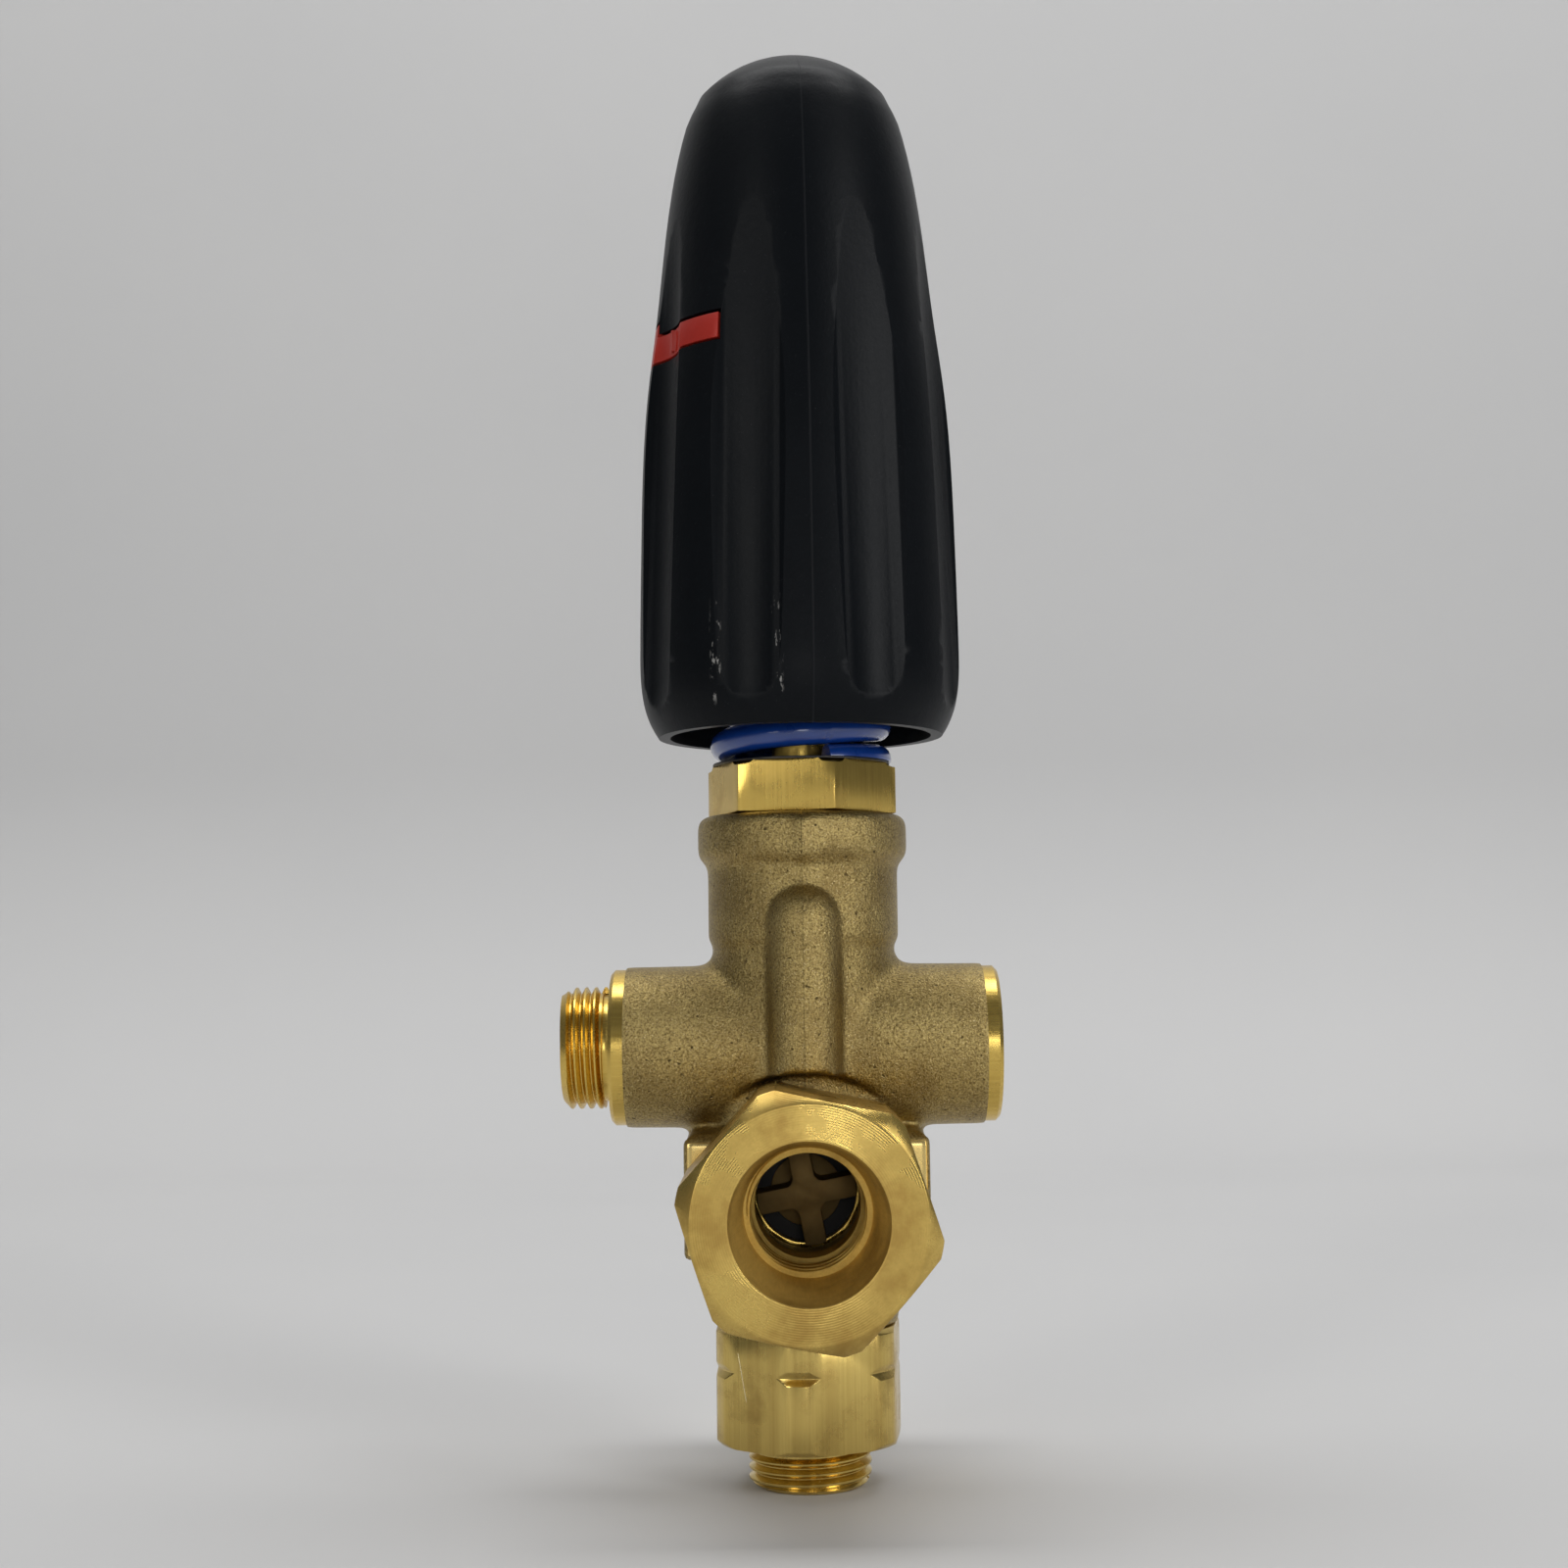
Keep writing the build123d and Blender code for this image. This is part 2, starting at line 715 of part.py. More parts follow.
inlet_fitting.part.label = "inlet_fitting"
export_step(inlet_fitting.part, "parts/inlet_fitting.step")

inlet_o_ring = o_ring(front_plane(-spot_face_y - seal_wire_r), inlet_ring_r, seal_wire_r)
inlet_o_ring.part.label = "inlet_o_ring"
export_step(inlet_o_ring.part, "parts/inlet_o_ring.step")


# ---------------------------------------------------------------- bypass nipple
# Threaded stud in the left port, turned in with a hexagon key and sealed on its inner end.
with BuildPart() as bypass_nipple:
    with BuildSketch(side_plane(-arm_length - nipple_length)):
        Circle(pipe_major_r)
    extrude(amount=nipple_length + arm_port_depth - washer_thickness)
    chamfer(bypass_nipple.edges().sort_by(Axis.X)[0], thread_chamfer)
    # Undercut where the outer thread runs out against the arm's face
    with BuildSketch(side_plane(-arm_length - nipple_undercut_width)):
        Circle(pipe_major_r)
        Circle(nipple_undercut_r, mode=Mode.SUBTRACT)
    extrude(amount=nipple_undercut_width, mode=Mode.SUBTRACT)
    with BuildSketch(side_plane(-arm_length - nipple_length)):
        Circle(arm_bore_r)
    extrude(amount=nipple_length + arm_port_depth, mode=Mode.SUBTRACT)
    with BuildSketch(side_plane(-arm_length - nipple_length)):
        hexagon(nipple_key_af)
    extrude(amount=nipple_key_depth, mode=Mode.SUBTRACT)

bypass_nipple.part.label = "bypass_nipple"
export_step(bypass_nipple.part, "parts/bypass_nipple.step")

with BuildPart() as nipple_seal_ring:
    with BuildSketch(side_plane(-arm_length + arm_port_depth)):
        Circle(pipe_major_r - seal_gap)
        Circle(arm_bore_r + seal_gap, mode=Mode.SUBTRACT)
    extrude(amount=-washer_thickness)

nipple_seal_ring.part.label = "nipple_seal_ring"
export_step(nipple_seal_ring.part, "parts/nipple_seal_ring.step")


# ---------------------------------------------------------------- check valve
check_seat_y = check_ledge + check_seat_length
check_ring_r = (cross_bore_r + check_bore_r) / 2
check_ring_wire_r = (check_bore_r - cross_bore_r) / 2 - check_ring_gap

with BuildPart() as check_seat:
    with BuildSketch(front_plane(check_seat_y)):
        Circle(check_bore_r - slide_gap)
        Circle(check_seat_bore_r, mode=Mode.SUBTRACT)
    extrude(amount=check_seat_length)
    with BuildSketch(front_plane(check_ledge)):
        Circle(check_ring_r + check_ring_wire_r + seal_gap)
        Circle(check_ring_r - check_ring_wire_r - seal_gap, mode=Mode.SUBTRACT)
    extrude(amount=-2 * check_ring_wire_r, mode=Mode.SUBTRACT)

check_seat.part.label = "check_seat"
export_step(check_seat.part, "parts/check_seat.step")

check_seat_o_ring = o_ring(front_plane(check_ledge + check_ring_wire_r), check_ring_r, check_ring_wire_r)
check_seat_o_ring.part.label = "check_seat_o_ring"
export_step(check_seat_o_ring.part, "parts/check_seat_o_ring.step")

poppet_seal_y = check_seat_y + slide_gap
poppet_head_y = poppet_seal_y + poppet_seal_thickness
poppet_back_y = poppet_head_y + poppet_head_length

with BuildPart() as check_poppet:
    with BuildSketch(front_plane(wing_start)):
        Rectangle(2 * wing_r, wing_thickness, rotation=wing_angle)
        Rectangle(wing_thickness, 2 * wing_r, rotation=wing_angle)
        Circle(wing_r, mode=Mode.INTERSECT)
    extrude(amount=-(poppet_seal_y - wing_start))
    inner_corners = check_poppet.edges().filter_by(Axis.Y).sort_by_distance((0, wing_start, port_z))
    fillet(inner_corners[0:4], wing_corner_r)
    with BuildSketch(front_plane(poppet_seal_y)):
        Circle(poppet_neck_r)
    extrude(amount=-poppet_seal_thickness)
    with BuildSketch(front_plane(poppet_head_y)):
        Circle(poppet_head_r)
    extrude(amount=-poppet_head_length)
    chamfer(check_poppet.edges().filter_by(GeomType.CIRCLE).sort_by(Axis.Y)[-1], poppet_chamfer)
    with BuildSketch(front_plane(poppet_back_y)):
        Circle(check_spring_r - check_spring_wire_r - plate_gap)
    extrude(amount=-poppet_boss_length)

check_poppet.part.label = "check_poppet"
export_step(check_poppet.part, "parts/check_poppet.step")

with BuildPart() as poppet_seal:
    with BuildSketch(front_plane(poppet_seal_y)):
        Circle(poppet_head_r - seal_gap)
        Circle(poppet_neck_r + seal_gap, mode=Mode.SUBTRACT)
    extrude(amount=-poppet_seal_thickness)

poppet_seal.part.label = "poppet_seal"
export_step(poppet_seal.part, "parts/poppet_seal.step")

plug_pocket_y = boss_length - plug_wall
check_spring_length = plug_pocket_y - poppet_back_y
check_spring_plane = Plane(origin=(0, poppet_back_y, port_z), x_dir=(1, 0, 0), z_dir=(0, 1, 0))
check_spring = coil(
    check_spring_plane, check_spring_r, check_spring_wire_r, check_spring_pitch, check_spring_length
)
check_spring.part.label = "check_spring"
export_step(check_spring.part, "parts/check_spring.step")

with BuildPart() as check_plug:
    with BuildSketch(front_plane(boss_length + plug_hex_length)):
        hexagon(plug_hex_af)
    extrude(amount=plug_hex_length)
    with BuildSketch(Plane.YZ):
        with BuildLine():
            Polyline(
                (boss_length, port_z),
                (boss_length, port_z + plug_hex_af),
                (boss_length + plug_hex_length - plug_chamfer, port_z + plug_hex_af),
                (boss_length + plug_hex_length, port_z + plug_hex_af / 2 - plug_chamfer),
                (boss_length + plug_hex_length, port_z),
                close=True,
            )
        make_face()
    revolve(axis=port_axis, mode=Mode.INTERSECT)
    with BuildSketch(front_plane(boss_length)):
        Circle(plug_thread_r - screw_gap)
    extrude(amount=plug_thread_length - thread_end_gap)
    with BuildSketch(front_plane(boss_length - plug_thread_length)):
        Circle(check_spring_r + check_spring_wire_r + plate_gap)
    extrude(amount=-plug_thread_length + plug_wall, mode=Mode.SUBTRACT)
    with BuildSketch(front_plane(boss_length)):
        Circle(plug_ring_r + seal_wire_r + seal_gap)
        Circle(plug_thread_r - screw_gap - seal_gap, mode=Mode.SUBTRACT)
    extrude(amount=-2 * seal_wire_r, mode=Mode.SUBTRACT)

check_plug.part.label = "check_plug"
export_step(check_plug.part, "parts/check_plug.step")

check_plug_o_ring = o_ring(front_plane(boss_length + seal_wire_r), plug_ring_r, seal_wire_r)
check_plug_o_ring.part.label = "check_plug_o_ring"
export_step(check_plug_o_ring.part, "parts/check_plug_o_ring.step")


# ---------------------------------------------------------------- sense passage ball
# Steel ball pressed into the top of the sense drilling to close it.
with BuildPart(Plane(origin=(0, sense_drill_y, ridge_top_z - sense_ball_r - ball_depth))) as sense_ball:
    Sphere(sense_ball_r)

sense_ball.part.label = "sense_ball"
export_step(sense_ball.part, "parts/sense_ball.step")


# ---------------------------------------------------------------- outlet adapter
# Hexagon-bar sleeve screwed on the body's spigot, with the male outlet thread below.
spigot_bottom_z = body_z - spigot_length
groove_z = outlet_hex_height - outlet_groove_drop

with BuildPart() as outlet_adapter:
    with BuildSketch(level(0)):
        hexagon(outlet_hex_af, outlet_hex_turn)
    extrude(amount=outlet_hex_height)
    with BuildSketch(Plane.XZ):
        with BuildLine():
            Polyline(
                (0, 0),
                (outlet_hex_corner_r - outlet_hex_chamfer, 0),
                (outlet_hex_corner_r, outlet_hex_chamfer),
                (outlet_hex_corner_r, groove_z - outlet_groove_width / 2),
                (outlet_groove_r, groove_z),
                (outlet_hex_corner_r, groove_z + outlet_groove_width / 2),
                (outlet_hex_corner_r, outlet_hex_height - outlet_hex_chamfer),
                (outlet_hex_corner_r - outlet_hex_chamfer, outlet_hex_height),
                (0, outlet_hex_height),
                close=True,
            )
        make_face()
    revolve(axis=Axis.Z, mode=Mode.INTERSECT)
    with BuildSketch(level(0)):
        Circle(pipe_major_r)
    extrude(amount=-outlet_thread_length)
    chamfer(outlet_adapter.edges().sort_by(Axis.Z)[0], thread_chamfer)
    with BuildSketch(level(-outlet_thread_length)):
        Circle(outlet_bore_r)
    extrude(amount=outlet_hex_height, mode=Mode.SUBTRACT)
    with BuildSketch(level(outlet_hex_height)):
        Circle(spigot_r + screw_gap)
    extrude(amount=-spigot_length - gasket_thickness, mode=Mode.SUBTRACT)

outlet_adapter.part.label = "outlet_adapter"
export_step(outlet_adapter.part, "parts/outlet_adapter.step")

with BuildPart() as outlet_gasket:
    with BuildSketch(level(spigot_bottom_z)):
        Circle(spigot_r - seal_gap)
        Circle(outlet_bore_r + seal_gap, mode=Mode.SUBTRACT)
    extrude(amount=-gasket_thickness)

outlet_gasket.part.label = "outlet_gasket"
export_step(outlet_gasket.part, "parts/outlet_gasket.step")


# ---------------------------------------------------------------- adjusting bush and stop nut
bush_groove_z = clip_z + clip_height / 2 - bush_groove_height / 2

with BuildPart() as adjusting_bush:
    with BuildSketch(level(bush_z)):
        hexagon(bush_hex_af)
        Circle(stem_r + screw_gap, mode=Mode.SUBTRACT)
    extrude(amount=bush_height)
    with BuildSketch(level(bush_groove_z)):
        Circle(bush_hex_af)
        Circle(bush_groove_r, mode=Mode.SUBTRACT)
    extrude(amount=bush_groove_height, mode=Mode.SUBTRACT)

adjusting_bush.part.label = "adjusting_bush"
export_step(adjusting_bush.part, "parts/adjusting_bush.step")

with BuildPart() as stop_nut:
    with BuildSketch(level(stop_nut_z)):
        hexagon(stop_nut_af)
        Circle(stem_r + screw_gap, mode=Mode.SUBTRACT)
    extrude(amount=stop_nut_height)

stop_nut.part.label = "stop_nut"
export_step(stop_nut.part, "parts/stop_nut.step")


# ---------------------------------------------------------------- knob
# Tapered plastic handwheel with eight flutes. A hub inside holds the bush's hexagon.
def rim(radius, height):
    """Point of the knob's outline, with its height counted from the rim."""
    return (radius, knob_rim_z + height)


pull = Vector(sin(radians(clip_mid_angle)), -cos(radians(clip_mid_angle)), 0)
pull_plane = Plane(origin=(0, 0, clip_z), x_dir=pull, z_dir=(0, 0, 1))
bush_corner_r = bush_hex_af / 2 / cos(radians(30))
hub_r = bush_corner_r + hub_wall
hub_bore_top_z = stem_top_z + adjust_travel + hub_end_gap
flute_low_r = knob_belly_r - flute_depth + flute_r
flute_high_r = flute_top_r + flute_r
crown_r = (crown_edge_r**2 + crown_rise**2) / (2 * crown_rise)
crown_half = asin(crown_edge_r / crown_r) / 2

with BuildPart() as knob_blank:
    with BuildSketch(Plane.XZ):
        with BuildLine():
            Line(rim(0, 0), rim(knob_rim_r - rim_round, 0))
            Spline(
                rim(knob_rim_r - rim_round, 0),
                *[rim(knob_belly_r - inset, height) for inset, height in knob_side],
                rim(knob_upper_r, knob_height - knob_upper_drop),
                rim(knob_shoulder_r, knob_height - knob_shoulder_drop),
                rim(crown_edge_r, knob_height - crown_rise),
            )
            ThreePointArc(
                rim(crown_edge_r, knob_height - crown_rise),
                rim(crown_r * sin(crown_half), knob_height - crown_r * (1 - cos(crown_half))),
                rim(0, knob_height),
            )
            Line(rim(0, knob_height), rim(0, 0))
        make_face()
    revolve(axis=Axis.Z)
    for number in range(flute_count):
        azimuth = radians(flute_angle + number * 360 / flute_count)
        outward = Vector(sin(azimuth), -cos(azimuth), 0)
        low = outward * flute_low_r + Vector(0, 0, knob_rim_z + flute_start)
        high = outward * flute_high_r + Vector(0, 0, knob_rim_z + flute_end)
        with BuildSketch(Plane(origin=low, z_dir=high - low)):
            Circle(flute_r)
        extrude(amount=2 * (high - low).length, mode=Mode.SUBTRACT)
        with Locations(Location(low)):
            Sphere(flute_r, mode=Mode.SUBTRACT)

with BuildPart() as knob:
    add(knob_blank.part)
    with BuildSketch(Plane.XZ):
        with BuildLine():
            Polyline(
                rim(0, -cut_margin),
                rim(knob_mouth_r, -cut_margin),
                rim(knob_mouth_r, knob_bore_height),
                rim(knob_waist_r, knob_waist_height),
                rim(knob_roof_r, knob_height - knob_roof_drop),
                rim(0, knob_height - knob_roof_drop),
                close=True,
            )
        make_face()
    revolve(axis=Axis.Z, mode=Mode.SUBTRACT)
    with BuildSketch(level(bush_z)):
        Circle(hub_r)
    extrude(amount=knob_top_z - knob_roof_drop - bush_z)
    with BuildSketch(level(bush_z)):
        for turn in (45, 135):
            Rectangle(2 * knob_mouth_r + cut_margin, rib_thickness, rotation=turn)
        Circle(hub_r - rib_overlap, mode=Mode.SUBTRACT)
    extrude(amount=knob_top_z - knob_roof_drop - bush_z)
    with BuildSketch(level(bush_z)):
        hexagon(bush_hex_af + 2 * bush_clearance)
    extrude(amount=bush_height, mode=Mode.SUBTRACT)
    with BuildSketch(level(bush_top_z)):
        Circle(bush_corner_r)
    extrude(amount=hub_bore_top_z - bush_top_z, mode=Mode.SUBTRACT)
    add(knob_blank.part, mode=Mode.INTERSECT)
    # Slot for the lock clip: an arc through the shell, a taller notch for its tab, and the fork's way in
    with BuildSketch(pull_plane.offset(-clip_gap)):
        add(sector(clip_inner_r - clip_gap, clip_half_angle + slot_angle_gap))
        with Locations(((knob_belly_r - fork_reach - clip_gap) / 2, 0)):
            Rectangle(knob_belly_r + fork_reach + clip_gap, 2 * (fork_half_width + clip_gap))
    extrude(amount=clip_height + 2 * clip_gap, mode=Mode.SUBTRACT)
    with BuildSketch(pull_plane):
        add(sector(clip_inner_r - clip_gap, clip_tab_angle + slot_angle_gap))
    extrude(amount=clip_height + clip_tab_rise + clip_gap, mode=Mode.SUBTRACT)

knob.part.label = "knob"
export_step(knob.part, "parts/knob.step")


# ---------------------------------------------------------------- knob lock clip
# Red clip pushed in from the side. Its fork sits in the bush's groove and its band closes the slot.
with BuildPart() as knob_lock_clip:
    with BuildSketch(pull_plane):
        add(sector(clip_inner_r, clip_half_angle))
    extrude(amount=clip_height)
    with BuildSketch(pull_plane):
        add(sector(clip_inner_r, clip_tab_angle))
    extrude(amount=clip_height + clip_tab_rise)
    add(knob_blank.part, mode=Mode.INTERSECT)
    with BuildSketch(pull_plane.offset((clip_height - fork_thickness) / 2)):
        with Locations(((clip_inner_r + fork_overlap - fork_reach) / 2, 0)):
            Rectangle(clip_inner_r + fork_overlap + fork_reach, 2 * fork_half_width)
        with Locations((-fork_reach, 0)):
            Rectangle(2 * fork_reach, 2 * (bush_groove_r + bush_clearance), mode=Mode.SUBTRACT)
        Circle(bush_groove_r + bush_clearance, mode=Mode.SUBTRACT)
    extrude(amount=fork_thickness)

knob_lock_clip.part.label = "knob_lock_clip"
export_step(knob_lock_clip.part, "parts/knob_lock_clip.step")
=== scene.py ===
import json
from math import cos, hypot, pi, radians, sin, sqrt

import bmesh
import bpy
from mathutils import Euler, Matrix, Vector


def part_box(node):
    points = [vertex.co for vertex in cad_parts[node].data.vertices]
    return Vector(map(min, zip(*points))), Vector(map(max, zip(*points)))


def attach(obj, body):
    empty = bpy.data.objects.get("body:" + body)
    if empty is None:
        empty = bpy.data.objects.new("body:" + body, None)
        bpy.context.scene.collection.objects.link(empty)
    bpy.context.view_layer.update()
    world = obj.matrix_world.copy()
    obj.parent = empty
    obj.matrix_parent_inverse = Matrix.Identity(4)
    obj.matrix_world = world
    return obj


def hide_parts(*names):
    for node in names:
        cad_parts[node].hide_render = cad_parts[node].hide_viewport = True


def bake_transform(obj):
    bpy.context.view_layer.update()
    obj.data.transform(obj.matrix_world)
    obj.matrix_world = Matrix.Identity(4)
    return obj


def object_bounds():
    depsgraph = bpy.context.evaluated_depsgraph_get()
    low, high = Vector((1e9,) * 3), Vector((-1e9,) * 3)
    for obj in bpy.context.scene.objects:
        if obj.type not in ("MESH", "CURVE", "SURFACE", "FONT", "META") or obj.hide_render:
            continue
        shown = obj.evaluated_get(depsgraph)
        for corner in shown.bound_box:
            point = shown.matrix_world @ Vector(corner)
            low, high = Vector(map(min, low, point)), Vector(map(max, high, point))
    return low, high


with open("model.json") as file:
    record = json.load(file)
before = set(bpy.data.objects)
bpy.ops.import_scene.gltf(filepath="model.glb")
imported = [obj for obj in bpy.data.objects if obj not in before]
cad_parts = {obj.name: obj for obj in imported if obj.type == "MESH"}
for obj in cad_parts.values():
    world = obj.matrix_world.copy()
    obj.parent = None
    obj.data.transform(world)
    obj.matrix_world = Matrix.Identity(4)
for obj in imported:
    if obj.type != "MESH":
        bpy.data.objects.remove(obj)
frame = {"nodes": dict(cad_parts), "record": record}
cad_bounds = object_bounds()
scene = bpy.context.scene
mm = 0.001


# ------------------------------------------------------------------ camera
# Level with the brass body and tipped up a little, close enough for the knob to taper away.
# It stands a hair to the left and is rolled slightly, as a hand would hold it.
outlet_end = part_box("outlet_adapter")[0].z
camera_distance = 0.300
camera_height = 69 * mm
camera_side = -2.4 * mm
tip_up = radians(95)
roll = radians(-0.75)
camera_data = bpy.data.cameras.new("camera")
camera_data.lens = 49.5
camera_data.sensor_width = 36
camera = bpy.data.objects.new("camera", camera_data)
camera.location = (camera_side, -camera_distance, outlet_end + camera_height)
camera.rotation_euler = Euler((tip_up, 0, 0))
camera.rotation_euler.rotate_axis("Z", roll)
scene.collection.objects.link(camera)
scene.camera = camera


# ------------------------------------------------------------------ valve body
# Hot-forged brass, sand-blasted after trimming, then bored, faced and threaded on a lathe.
# The skin keeps a fine grain with small painted glints; the arm ends and the spot face are bright and
# turned.
class Wire:
    """A shader socket that can be used in sums: each operator adds a Math node."""

    def __init__(self, finish, socket):
        self.finish = finish
        self.socket = socket

    def math(self, operation, *others):
        return self.finish.node("ShaderNodeMath", {"operation": operation}, [self, *others])

    def __add__(self, other):
        return self.math("ADD", other)

    def __sub__(self, other):
        return self.math("SUBTRACT", other)

    def __rsub__(self, other):
        return self.math("MULTIPLY", -1.0).math("ADD", other)

    def __mul__(self, other):
        return self.math("MULTIPLY", other)

    __radd__ = __add__
    __rmul__ = __mul__

    def size(self):
        return self.math("ABSOLUTE")

    def step(self, start, end):
        """0 before start, 1 after end, smooth between."""
        settings = {"interpolation_type": "SMOOTHSTEP"}
        return self.finish.node("ShaderNodeMapRange", settings, [self, start, end, 0.0, 1.0])


class Finish:
    """A material being made: a Principled shader and the nodes that feed it."""

    def __init__(self, name, **constants):
        self.material = bpy.data.materials.new(name)
        self.material.use_nodes = True
        self.tree = self.material.node_tree
        self.shader = self.tree.nodes["Principled BSDF"]
        for socket, value in constants.items():
            self.shader.inputs[socket.replace("_", " ")].default_value = value
        self.place = self.node("ShaderNodeTexCoord", {}, [], "Object")
        self.x, self.y, self.z = (self.part(i) for i in range(3))

    def node(self, kind, settings, values, output=0):
        """Adds a node, sets it up, then gives its sockets their values or links."""
        made = self.tree.nodes.new(kind)
        for key, value in settings.items():
            setattr(made, key, value)
        sockets = values.items() if isinstance(values, dict) else enumerate(values)
        for key, value in sockets:
            if isinstance(value, Wire):
                self.tree.links.new(value.socket, made.inputs[key])
            else:
                made.inputs[key].default_value = value
        return Wire(self, made.outputs[output])

    def part(self, index):
        return self.node("ShaderNodeSeparateXYZ", {}, [self.place], index)

    def stretched(self, scale):
        """Object coordinates multiplied by a vector, for grain that runs one way."""
        return self.node("ShaderNodeMapping", {}, {"Vector": self.place, "Scale": scale})

    def noise(self, scale, detail=3.0, roughness=0.55, where=None):
        values = {"Vector": where or self.place, "Scale": scale, "Detail": detail, "Roughness": roughness}
        return self.node("ShaderNodeTexNoise", {}, values, "Fac")

    def blend(self, factor, first, second):
        """Mix of two colours."""
        values = {0: factor, 6: first, 7: second}
        return self.node("ShaderNodeMix", {"data_type": "RGBA"}, values, 2)

    def bump(self, height, depth, under=None):
        values = {"Height": height, "Strength": 1.0, "Distance": depth}
        if under:
            values["Normal"] = under
        return self.node("ShaderNodeBump", {}, values, "Normal")

    def feed(self, **wires):
        for socket, wire in wires.items():
            self.tree.links.new(wire.socket, self.shader.inputs[socket.replace("_", " ")])
        return self.material


def colour(red, green, blue):
    return (red, green, blue, 1.0)


def turned_marks(across, along, pitch):
    """Fine rings left by a lathe tool round an axis: across is the two distances from it."""
    radius = across[0] * across[0] + across[1] * across[1]
    rings = (radius.math("SQRT") + along) * (2 * pi / pitch)
    return rings.math("SINE")


def machined_brass(name, along="z", stain=0.35, drawn=True):
    """Bright brass with streaks along the bar and a few stains."""
    finish = Finish(name, Metallic=1.0)
    lengthwise = 60
    crosswise = 3400
    scale = [lengthwise if axis == along else crosswise for axis in "xyz"]
    streaks = finish.noise(1.0, 4.0, 0.6, finish.stretched(scale))
    fine = finish.noise(2.3, 2.0, 0.5, finish.stretched(scale))
    cloud = finish.noise(170, 4.0, 0.6)
    patches = finish.noise(420, 4.0, 0.6).step(0.45, 0.80)
    base = finish.blend(streaks, colour(0.60, 0.39, 0.085), colour(0.88, 0.64, 0.17))
    dulled = finish.blend(cloud.step(0.42, 0.85) * stain, base, colour(0.36, 0.21, 0.06))
    spotted = finish.blend(patches * (stain * 0.5), dulled, colour(0.46, 0.29, 0.09))
    rough = streaks * 0.12 + cloud.step(0.4, 0.8) * 0.12 + 0.18
    height = (streaks * 0.6 + fine * 0.4) if drawn else fine
    return finish.feed(Base_Color=spotted, Roughness=rough, Normal=finish.bump(height, 0.007 * mm))


def forged_brass():
    """Sand-blasted forging: fine grain with painted glints, dark pits, an ejector's round mark, a bright
    spot face.
    """
    finish = Finish("forged_brass", Metallic=1.0)
    spot_face = -8.7 * mm
    block_top = 43 * mm
    mark_side = 13.8 * mm
    mark_height = 54.5 * mm
    mark_radius = 1.9 * mm
    grain = finish.noise(3400, 3.0, 0.7)
    lumps = finish.noise(1100, 3.0, 0.6)
    pits = finish.noise(1500, 1.0, 0.5).step(0.69, 0.80)
    tarnish = finish.noise(130, 4.0, 0.6).step(0.40, 0.72)
    # Painted glints: small pale specks in the skin's colour stand in for light caught by the blasted grain.
    painted_glints = finish.noise(5200, 1.0, 0.5).step(0.60, 0.74)
    faced = 1.0 - finish.y.step(spot_face - 0.04 * mm, spot_face + 0.04 * mm)
    low = 1.0 - finish.z.step(block_top, block_top + 0.4 * mm)
    bright = faced * low
    across = finish.x - mark_side
    up = finish.z - mark_height
    from_mark = (across * across + up * up).math("SQRT") - mark_radius
    mark = (1.0 - from_mark.size().step(0.08 * mm, 0.28 * mm)) * (1.0 - finish.y.step(-1 * mm, 0.0))
    dark = finish.blend(grain.step(0.30, 0.66), colour(0.19, 0.13, 0.045), colour(0.54, 0.41, 0.16))
    skin = finish.blend(tarnish * 0.5, dark, colour(0.19, 0.125, 0.042))
    lit = finish.blend(painted_glints * 0.45, skin, colour(0.92, 0.76, 0.42))
    pitted = finish.blend(pits * 0.8, lit, colour(0.07, 0.045, 0.02))
    final = finish.blend(bright, pitted, colour(0.80, 0.60, 0.23))
    rough = (grain * 0.22 + 0.27) * (1.0 - bright) + bright * 0.26
    blasted = finish.bump((grain * 0.8 + lumps * 0.9 - pits * 0.6) * (1.0 - bright), 0.16 * mm)
    seam = 1.0 - finish.x.size().step(0.08 * mm, 0.26 * mm)
    normal = finish.bump(mark + seam * (1.0 - low), 0.07 * mm, blasted)
    return finish.feed(Base_Color=final, Roughness=rough, Normal=normal)


def made_object(name, shape):
    """Makes an object of a bmesh, which is used up."""
    mesh = bpy.data.meshes.new(name)
    shape.to_mesh(mesh)
    shape.free()
    made = bpy.data.objects.new(name, mesh)
    scene.collection.objects.link(made)
    return made


def shade(shape, sharp):
    """Smooth faces, with a hard line wherever two of them meet at more than this many degrees."""
    for edge in shape.edges:
        edge.smooth = len(edge.link_faces) != 2 or edge.calc_face_angle(pi) < radians(sharp)
    for face in shape.faces:
        face.smooth = True


def add_piece(name, shape, body, node, material, sharp=30):
    """Makes a piece of a bmesh, hangs it on its body, and puts it in a CAD node's place."""
    shade(shape, sharp)
    piece = made_object(name, shape)
    piece.data.materials.append(material)
    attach(piece, body)
    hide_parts(node)


same_place = 0.002 * mm


def cad_shape(node):
    """A CAD node's mesh, its loose triangles joined and its flat faces made whole."""
    shape = bmesh.new()
    shape.from_mesh(frame["nodes"][node].data)
    bmesh.ops.remove_doubles(shape, verts=shape.verts, dist=same_place)
    bmesh.ops.dissolve_limit(shape, angle_limit=radians(0.2), verts=shape.verts, edges=shape.edges)
    return shape


def soften(shape, width, angle=28):
    """Breaks a shape's sharp edges, as a deburring tool or tumbling does."""
    sharp = [
        edge for edge in shape.edges
        if len(edge.link_faces) == 2 and edge.calc_face_angle(0) > radians(angle)
    ]
    bmesh.ops.bevel(
        shape, geom=sharp, offset=width, offset_type="OFFSET", segments=2, profile=0.5,
        affect="EDGES", clamp_overlap=False, material=-1,
    )
    return shape


